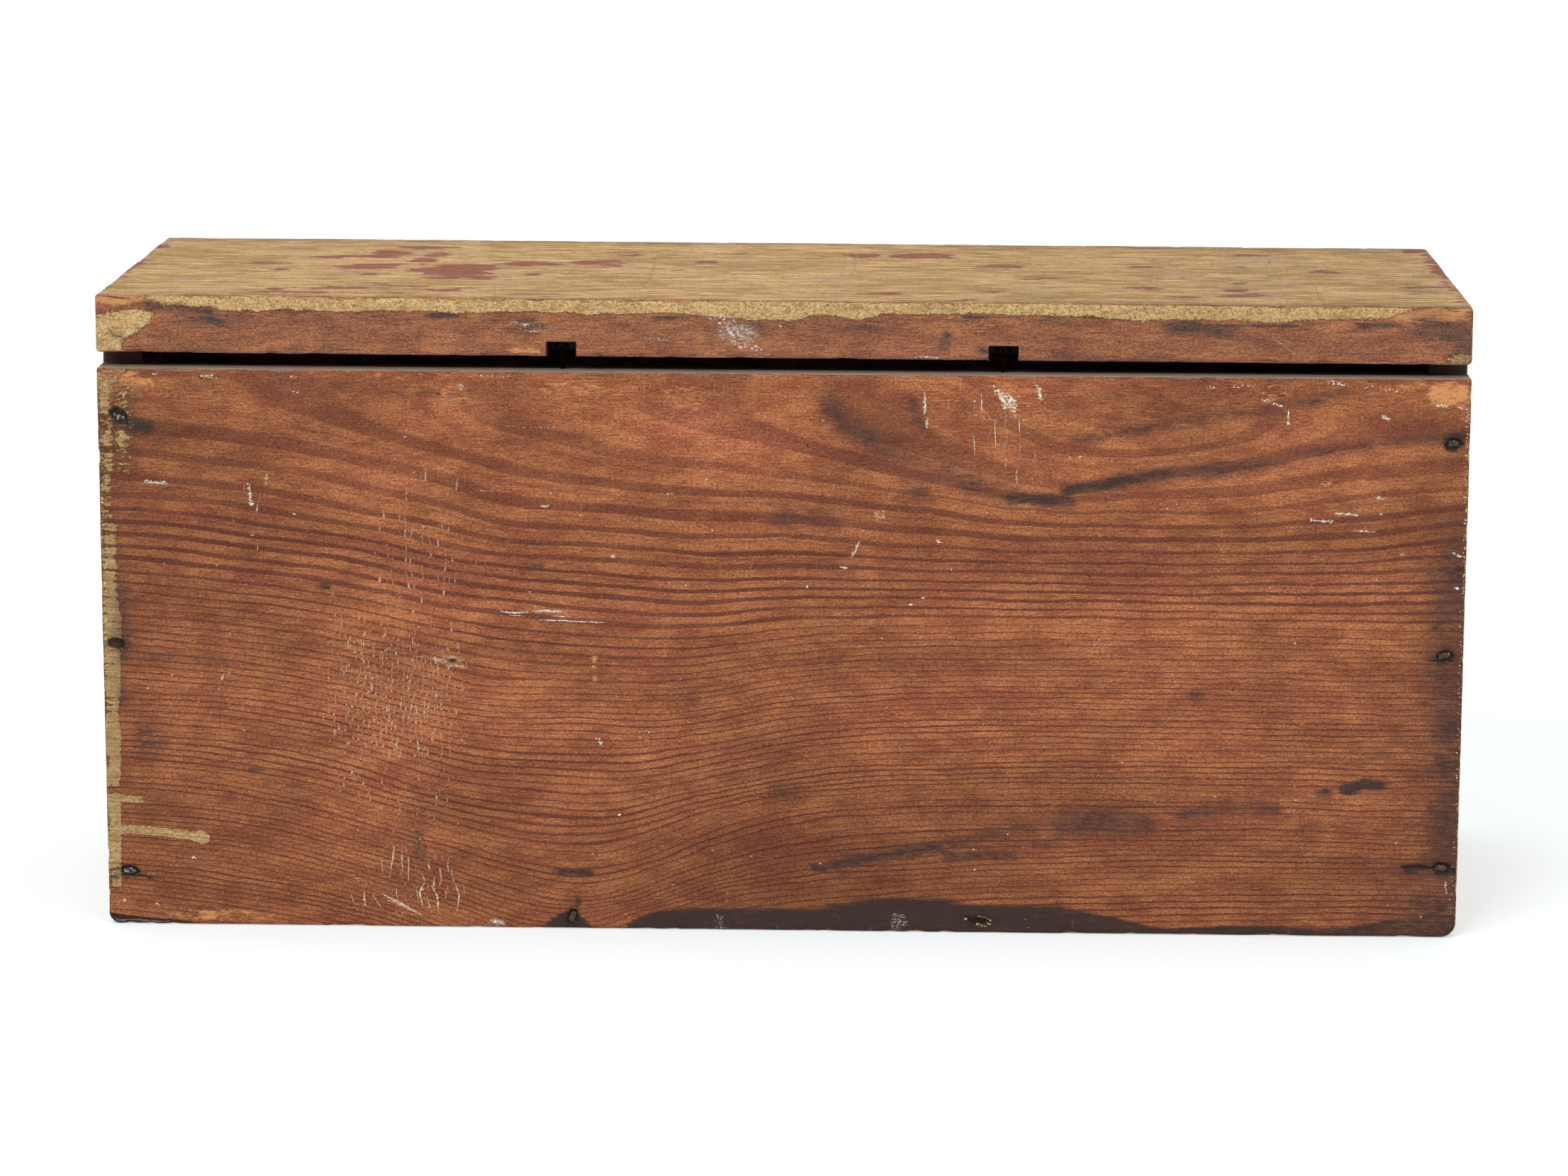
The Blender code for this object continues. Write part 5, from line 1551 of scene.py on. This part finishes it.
# Scratches: path and width
BOLD_SCRATCHES = [
    ([(76.5, 10.7), (76.7, 6.3)], 0.7), ([(79.1, 9.9), (81.7, 5.4)], 0.4),
    ([(80.8, 10.7), (83.9, 9), (89.1, 6.3), (94.3, 3.2)], 0.8), ([(82, 8.8), (88, 6.6), (91, 4.6)], 0.5),
    ([(84.3, 26.7), (85.6, 24), (84, 14.7)], 0.45), ([(87.8, 23.2), (88, 16)], 0.45),
    ([(89.9, 22.3), (89.7, 13.4)], 0.35), ([(81.7, 21.4), (82.1, 16)], 0.3),
    ([(93.4, 16.9), (94.7, 14.3), (93, 10.7), (93.9, 6.3), (96, 6.3)], 0.75),
    ([(95.6, 20.4), (96, 16.9)], 0.4), ([(96, 13.4), (98.2, 9.8), (98.6, 4.1)], 0.7),
    ([(99.1, 18.7), (99.5, 14.2), (98.6, 12.5)], 0.45), ([(101.3, 19.6), (101.7, 16.9)], 0.4),
    ([(103.4, 14.2), (104.8, 9.8), (103.9, 4.5)], 0.5), ([(106.1, 13.4), (106.5, 9.8)], 0.3),
    ([(92, 12.5), (92.6, 8)], 0.4), ([(72.5, 10), (73.5, 7)], 0.3), ([(95, 9.5), (96.5, 5)], 0.5),
    ([(97.5, 15.5), (97, 12)], 0.4), ([(86, 12), (86.4, 8)], 0.3)
]
SCRATCH_GAIN = 1.3           # how much broader the bold ones are drawn
WHITE_SCRATCHES = [
    ([(117.5, 96.0), (121, 95.5), (126, 95.7)], 0.55), ([(127, 96.2), (131, 96.4), (137, 96.0)], 0.6),
    ([(129, 93.6), (136, 93.4), (149, 92.8)], 0.6), ([(120, 94.9), (125, 94.6)], 0.35),
    ([(133, 94.8), (139, 94.4)], 0.3), ([(222.9, 117.8), (222, 115), (220.6, 112.8)], 0.55),
    ([(217.2, 110.2), (219.6, 109.9)], 0.6), ([(241.6, 162), (242, 156)], 0.7),
    ([(242.5, 154.5), (242.2, 151)], 0.5), ([(262.6, 163), (264, 160.2), (266.5, 157.4)], 1.3),
    ([(265.5, 162), (268, 159)], 0.8), ([(274.5, 164), (275.5, 160)], 0.8),
    ([(258, 162), (258.4, 156)], 0.4), ([(256, 150), (256.4, 143)], 0.35),
    ([(262, 154), (262.4, 146)], 0.35), ([(269, 155), (269.5, 149)], 0.35),
    ([(347, 157.8), (347.2, 153.8)], 0.45), ([(44.4, 133.4), (44.8, 127.5)], 0.45),
    ([(13.5, 133.7), (20.5, 133.3)], 0.5), ([(354, 125.2), (361, 124.8)], 0.45),
    ([(361, 127.4), (368, 126.8)], 0.4), ([(367, 122.2), (373, 121.8)], 0.35)
]
STRAY_SPECKS = 240
LID_STRAYS = 260
FLAKE_SIDES = 7
FLAKE_LIFT = 0.012 * MM
FLAKE_DOME = 0.035 * MM
SCRATCH_LIFT = 0.03 * MM


class Surface:
    """The face of a finished board, on which flakes are laid."""

    def __init__(self, board, place):
        mesh = board.data
        corners = [vertex.co for vertex in mesh.vertices]
        self.tree = BVHTree.FromPolygons(corners, [tuple(face.vertices) for face in mesh.polygons])
        self.place = place

    def point(self, a, b, lift):
        """The place on the face that lies over two lengths, lifted a little off it."""
        start, direction = self.place(a, b)
        hit, _, _, _ = self.tree.ray_cast(start, direction)
        return None if hit is None else hit - direction * lift


def over_back(x, z):
    return Vector((LEFT_X + x * MM, REAR_Y - 10 * MM, z * MM)), Vector((0, 1, 0))


def over_lid(x, y):
    return Vector((LEFT_X + x * MM, REAR_Y + y * MM, LID_HIGH.z + 10 * MM)), Vector((0, 0, -1))


def over_lid_rear(x, z):
    height = LID_LOW.z + (z + 1 - x / LENGTH_MM) * MM
    return Vector((LEFT_X + x * MM, REAR_Y - 10 * MM, height)), Vector((0, 1, 0))


def chance(number, seed):
    return float(lattice(number, seed * 7 + 1, seed, 31))


def along_path(path, share):
    """The place at a share of a path's length."""
    lengths = [math.dist(start, end) for start, end in zip(path, path[1:])]
    left = share * sum(lengths)
    for start, end, length in zip(path, path[1:], lengths):
        if left <= length:
            part = left / length
            return start[0] + (end[0] - start[0]) * part, start[1] + (end[1] - start[1]) * part
        left -= length
    return path[-1]


def flake(bm, surface, middle, size, stretch, seed):
    """One ragged flake, low at its rim and a little raised in the middle."""
    top = surface.point(*middle, FLAKE_LIFT + FLAKE_DOME)
    rim = []
    for side in range(FLAKE_SIDES):
        turn = 2 * math.pi * (side + 0.6 * chance(side, seed)) / FLAKE_SIDES
        reach = size * (0.55 + 0.9 * chance(side + 50, seed))
        rim.append(surface.point(middle[0] + math.cos(turn) * reach * stretch,
                                 middle[1] + math.sin(turn) * reach / stretch, FLAKE_LIFT))
    if top is None or None in rim:
        return
    centre = bm.verts.new(top)
    corners = [bm.verts.new(corner) for corner in rim]
    for first, second in zip(corners, corners[1:] + corners[:1]):
        bm.faces.new((centre, first, second))


def path_length(path):
    return sum(math.dist(start, end) for start, end in zip(path, path[1:]))


def scratch(bm, surface, path, width, seed):
    """One thin ragged scratch along a path."""
    length = path_length(path)
    steps = max(4, int(length / 0.45))
    lean_x, lean_z = path[-1][0] - path[0][0], path[-1][1] - path[0][1]
    rows = []
    for step in range(steps + 1):
        x, z = along_path(path, step / steps)
        taper = math.sin(math.pi * (step + 0.6) / (steps + 1.2))
        half = width * (0.15 + 0.85 * chance(step, seed)) * taper / 2
        shift = 0.16 * (chance(step, seed + 5) - 0.5)
        sides = [(x + lean_z / length * (shift + side * half), z - lean_x / length * (shift + side * half))
                 for side in (-1, 1)]
        row = [surface.point(*side, SCRATCH_LIFT) for side in sides]
        if None in row:
            return
        rows.append([bm.verts.new(corner) for corner in row])
    for upper, lower in zip(rows, rows[1:]):
        bm.faces.new((upper[0], upper[1], lower[1], lower[0]))


def scatter(bm, surface, marks):
    """Flakes along the path of each mark."""
    for number, (path, spread, count, size) in enumerate(marks):
        for step in range(count):
            seed = number * 211 + step
            x, y = along_path(path, (step + chance(step, number + 3)) / count)
            middle = (x + spread * (chance(seed, 5) - 0.5) * 2, y + spread * (chance(seed, 6) - 0.5) * 2)
            big = size * (0.45 + 1.1 * chance(seed, 7) ** 2)
            flake(bm, surface, middle, big, 1.0 + 0.5 * chance(seed, 8), seed)


def strew(name, marks, surface, material, body, scratches=()):
    """All the flakes and scratches of one kind on one face, as one piece."""
    bm = bmesh.new()
    for number, (path, width) in enumerate(scratches):
        scratch(bm, surface, path, width, 900 + number)
    scatter(bm, surface, marks)
    made = object_from(bm, name, material)
    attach(made, body)
    return made


def scuff_marks():
    """Pale ticks across the rings, in rough columns, and the bold scratches near the bottom."""
    count, (x_low, x_high), (z_low, z_high) = SCUFF_COLUMNS
    marks = []
    for number in range(count):
        x = x_low + (x_high - x_low) * (0.5 + (chance(number, 11) - 0.5) * (0.4 + 0.6 * chance(number, 12)))
        z = z_low + (z_high - z_low) * chance(number, 13)
        tall = 0.6 + 2.4 * chance(number, 14) ** 2
        path = [(x, z), (x + 0.5 * chance(number, 15), z + tall)]
        marks.append((path, 0.14 + 0.34 * chance(number, 16) ** 2))
    return marks + [(path, width * SCRATCH_GAIN) for path, width in BOLD_SCRATCHES]


def stray_marks(count, wide, tall, size, seed):
    """Single specks scattered over a face."""
    marks = []
    for number in range(count):
        x = wide[0] + (wide[1] - wide[0]) * chance(number, seed)
        z = tall[0] + (tall[1] - tall[0]) * chance(number, seed + 1)
        marks.append(([(x, z), (x + 0.01, z)], 0.1, 1 + int(2.4 * chance(number, seed + 2)), size))
    return marks


def strew_back(back):
    surface = Surface(back, over_back)
    pale = speck_material("pale_specks", (0.90, 0.86, 0.78), (0.70, 0.56, 0.42))
    tan = speck_material("tan_specks", (0.70, 0.46, 0.26), (0.48, 0.28, 0.14))
    scraped = speck_material("scraped_wood", (0.86, 0.70, 0.54), (0.58, 0.36, 0.21))
    gold = speck_material("gold_specks", (0.84, 0.58, 0.26), (0.50, 0.30, 0.12))
    dark = speck_material("dark_specks", (0.05, 0.03, 0.022), (0.018, 0.012, 0.010))
    strays = stray_marks(STRAY_SPECKS, (8, 392), (8, 162), 0.16, 61)
    strew("pale_specks_back", PALE_SPECKS + strays[:90], surface, pale, "case", WHITE_SCRATCHES)
    strew("tan_specks_back", TAN_SPECKS + strays[90:150], surface, tan, "case")
    strew("scratches_back", [], surface, scraped, "case", scuff_marks())
    strew("gold_specks_back", GOLD_EDGE, surface, gold, "case")
    strew("dark_specks_back", DARK_SPECKS + strays[150:], surface, dark, "case")


# On the lid's top: wrinkles and cracks in the paint, in millimetres from its left end and rear edge
LID_WRINKLES = [
    [(158.5, 24), (159.5, 60), (158, 98)], [(117, 1), (113.5, 32)], [(216, 60), (216.8, 90), (215.5, 116)],
    [(219.5, 60), (220, 90), (219, 116)], [(270.5, 72), (270, 108)], [(273.8, 72), (273.4, 108)],
    [(277.5, 64), (277, 92)], [(316, 78), (316.6, 100)], [(329, 74), (329.6, 106)],
    [(344.6, 66), (345.8, 88), (348, 104)], [(356, 78), (356.6, 126)], [(364.4, 78), (363.8, 102)],
    [(369.4, 78), (369, 126)], [(357, 0), (357.2, 68)], [(309, 46), (309.2, 68)], [(334, 1), (334.2, 18)]
]
# Pale lines on the top and pale scrapes on the rear face: path, spread, number of flakes and their size
LID_PALE_LINES = [
    ([(286, 112), (284, 92), (280, 66), (273, 34)], 0.1, 150, 0.14),
    ([(174, 24.2), (120, 24.6)], 0.2, 60, 0.16), ([(240, 30), (340, 29)], 0.3, 90, 0.14),
    ([(200, 21), (300, 20.4)], 0.3, 50, 0.14), ([(274, 45), (278, 52)], 1.6, 30, 0.2),
    ([(333, 44), (337, 52)], 1.2, 24, 0.2), ([(254.6, 69), (255.2, 71)], 0.3, 6, 0.3),
    ([(262, 28), (264, 24)], 0.3, 10, 0.2), ([(84, 32), (92, 35)], 2.5, 30, 0.16)
]
REAR_PALE = [
    ([(121, 10), (126, 9.4)], 0.5, 14, 0.16), ([(124, 7.8), (131, 7.6)], 0.35, 22, 0.14),
    ([(125, 9.8), (127, 9.4)], 0.3, 8, 0.26), ([(160, 5.8), (167, 5.4)], 0.4, 14, 0.13),
    ([(179, 12.5), (187, 11.3)], 0.8, 30, 0.2), ([(182, 10), (190, 7.5)], 1.2, 46, 0.22),
    ([(185, 7.5), (193, 4)], 1.0, 40, 0.2), ([(190, 4), (197, 1.4)], 0.7, 26, 0.18),
    ([(186, 5.6), (189, 3)], 0.6, 26, 0.2), ([(239, 1.2), (246, 0.9)], 0.3, 26, 0.2),
    ([(342, 8), (350, 2)], 0.06, 46, 0.09), ([(62, 2), (80, 1.4)], 0.7, 14, 0.12),
    ([(40, 4), (58, 3)], 0.8, 12, 0.1), ([(199.5, 10), (199.8, 9.5)], 0.2, 4, 0.2)
]


def strew_lid(lid):
    top = Surface(lid, over_lid)
    rear = Surface(lid, over_lid_rear)
    pale = speck_material("pale_scrapes", (0.84, 0.80, 0.76), (0.50, 0.42, 0.38))
    wrinkle_dark = speck_material("paint_wrinkles", (0.26, 0.16, 0.075), (0.15, 0.09, 0.045))
    wrinkle_pale = speck_material("paint_ridges", (0.72, 0.52, 0.27), (0.50, 0.35, 0.17))
    dark_marks = []
    pale_marks = list(LID_PALE_LINES)
    for path in LID_WRINKLES:
        length = math.dist(path[0], path[-1])
        dark_marks.append((path, 0.5, int(length), 0.22))
        pale_marks.append(([(x + 0.8, y) for x, y in path], 0.5, int(length * 0.9), 0.22))
    strays = stray_marks(LID_STRAYS, (6, 394), (4, 130), 0.24, 81)
    strew("paint_wrinkles_lid", dark_marks + strays[:180], top, wrinkle_dark, "lid")
    strew("paint_ridges_lid", pale_marks + strays[180:], top, wrinkle_pale, "lid")
    strew("pale_scrapes_lid", REAR_PALE, rear, pale, "lid")


# The pieces

# Boards made alike: name, node, side with nails, axes along, across and into it, way out, lean and seed
PLAIN_BOARDS = [
    ("front_board_wood", "front_board", "front", 0, 2, 1, 1, LID_LEAN, 101),
    ("left_end_wood", "left_end_board", "left", 1, 2, 0, -1, 0, 131),
    ("right_end_wood", "right_end_board", "right", 1, 2, 0, 1, 0, 151),
    ("bottom_board_wood", "bottom_board", None, 0, 1, 2, -1, 0, 171),
]


def dress_boards():
    wood = board_material("aged_pine_board")
    back = make_back()
    dressed = [(back, "back_board", "case", "bare_pine")]
    for board in PLAIN_BOARDS:
        slot = "bare_pine" if board[1] == "bottom_board" else "painted_pine"
        dressed.append((make_case_board(*board), board[1], "case", slot))
    lid = make_lid()
    dressed.append((lid, "lid_board", "lid", "painted_pine"))
    for piece, node, body, slot in dressed:
        piece.data.materials.append(wood)
        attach(piece, body)
        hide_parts(node)
    strew_back(back)
    strew_lid(lid)


def dress_iron():
    nail_iron = iron_material("nail_iron_aged", 1.0)
    # Painted shade: the hinge pins' iron is darkened to near black for the shadow in the notches
    shaded_hinge_iron = iron_material("hinge_iron_painted_shade", 0.06)
    for node in NAIL_NODES:
        make_nail(node, nail_iron)
    for node, pin in frame["nodes"].items():
        if node.endswith("hinge_pin"):
            pin.data.materials.clear()
            pin.data.materials.append(shaded_hinge_iron)


# Camera, floor and light

CAMERA_PLACE = (0.0427, -1.4822, 0.3800)
CAMERA_TURN = (78.944, -0.173, 1.725)        # degrees about x, y and z
CAMERA_LENS = 113.0
CAMERA_SENSOR = 36.0


def make_camera():
    data = bpy.data.cameras.new("camera")
    data.lens = CAMERA_LENS
    data.sensor_width = CAMERA_SENSOR
    camera = place_object("camera", data)
    camera.location = CAMERA_PLACE
    camera.rotation_euler = Euler([math.radians(angle) for angle in CAMERA_TURN])
    bpy.context.scene.camera = camera


WHITE = (1, 1, 1)
WORLD_LIGHT = 0.43


def mix_shaders(g, share, first, second, output):
    mix = g.node("MixShader")
    g.feed(output, g.fed(mix, share, first.outputs[0], second.outputs[0]))


def make_world():
    """A white sky that the camera sees as plain white, and that lights the chest more softly."""
    world = bpy.data.worlds.new("studio")
    world.use_nodes = True
    g = Graph(world.node_tree)
    output = g.node("OutputWorld")
    light = g.node("Background")
    g.fed(light, WHITE, WORLD_LIGHT)
    glow = g.node("Background")
    g.fed(glow, WHITE)
    mix_shaders(g, g.seen(), light, glow, output.inputs[0])
    bpy.context.scene.world = world


FLOOR_REACH = 6.0
FLOOR_COLOUR = (0.770, 0.845, 0.870)
FLOOR_LIFT = 0.38            # light added to what the camera sees of the floor, which keeps its shadow
FLOOR_FADE = (0.35, 1.0)     # where the floor turns into plain white


def floor_material():
    """A pale floor that keeps the chest's shadow and turns into plain white further off."""
    g = MaterialGraph("floor_white")
    seen = g.seen()
    g.set(Base_Color=FLOOR_COLOUR, Roughness=0.9, Specular_IOR_Level=0.0, Emission_Color=WHITE,
          Emission_Strength=g.times(seen, FLOOR_LIFT))
    reach = g.node("VectorMath", operation="LENGTH")
    g.feed(reach.inputs[0], g.place())
    far = g.times(g.span(reach.outputs["Value"], *FLOOR_FADE), seen)
    glow = g.node("Emission")
    g.fed(glow, WHITE)
    mix_shaders(g, far, g.shader, glow, g.output.inputs[0])
    return g.material


def make_floor():
    mesh = bpy.data.meshes.new("floor")
    corners = [(x * FLOOR_REACH, y * FLOOR_REACH, 0) for x, y in ((-1, -1), (1, -1), (1, 1), (-1, 1))]
    mesh.from_pydata(corners, [], [(0, 1, 2, 3)])
    mesh.materials.append(floor_material())
    floor = place_object("floor", mesh)


# Lamps: name, place, width and height in metres, and power in watts
LAMPS = [
    ("key_light", (-1.1, -1.9, 1.9), 1.6, 1.2, 31),
    ("fill_light", (1.7, -1.5, 1.1), 1.6, 1.4, 14),
    ("top_light", (0.0, 0.5, 2.2), 2.0, 1.4, 14),
]
LAMP_AIM = Vector((0, 0, 0.09))


def make_lamp(name, place, width, height, power):
    data = bpy.data.lights.new(name, "AREA")
    data.shape = "RECTANGLE"
    data.size = width
    data.size_y = height
    data.energy = power
    lamp = place_object(name, data)
    lamp.location = place
    lamp.rotation_euler = (LAMP_AIM - Vector(place)).to_track_quat("-Z", "Y").to_euler()


def make_studio():
    for lamp in LAMPS:
        make_lamp(*lamp)


make_camera()
make_world()
make_floor()
make_studio()
dress_boards()
dress_iron()

bpy.context.scene.view_settings.view_transform = "Standard"
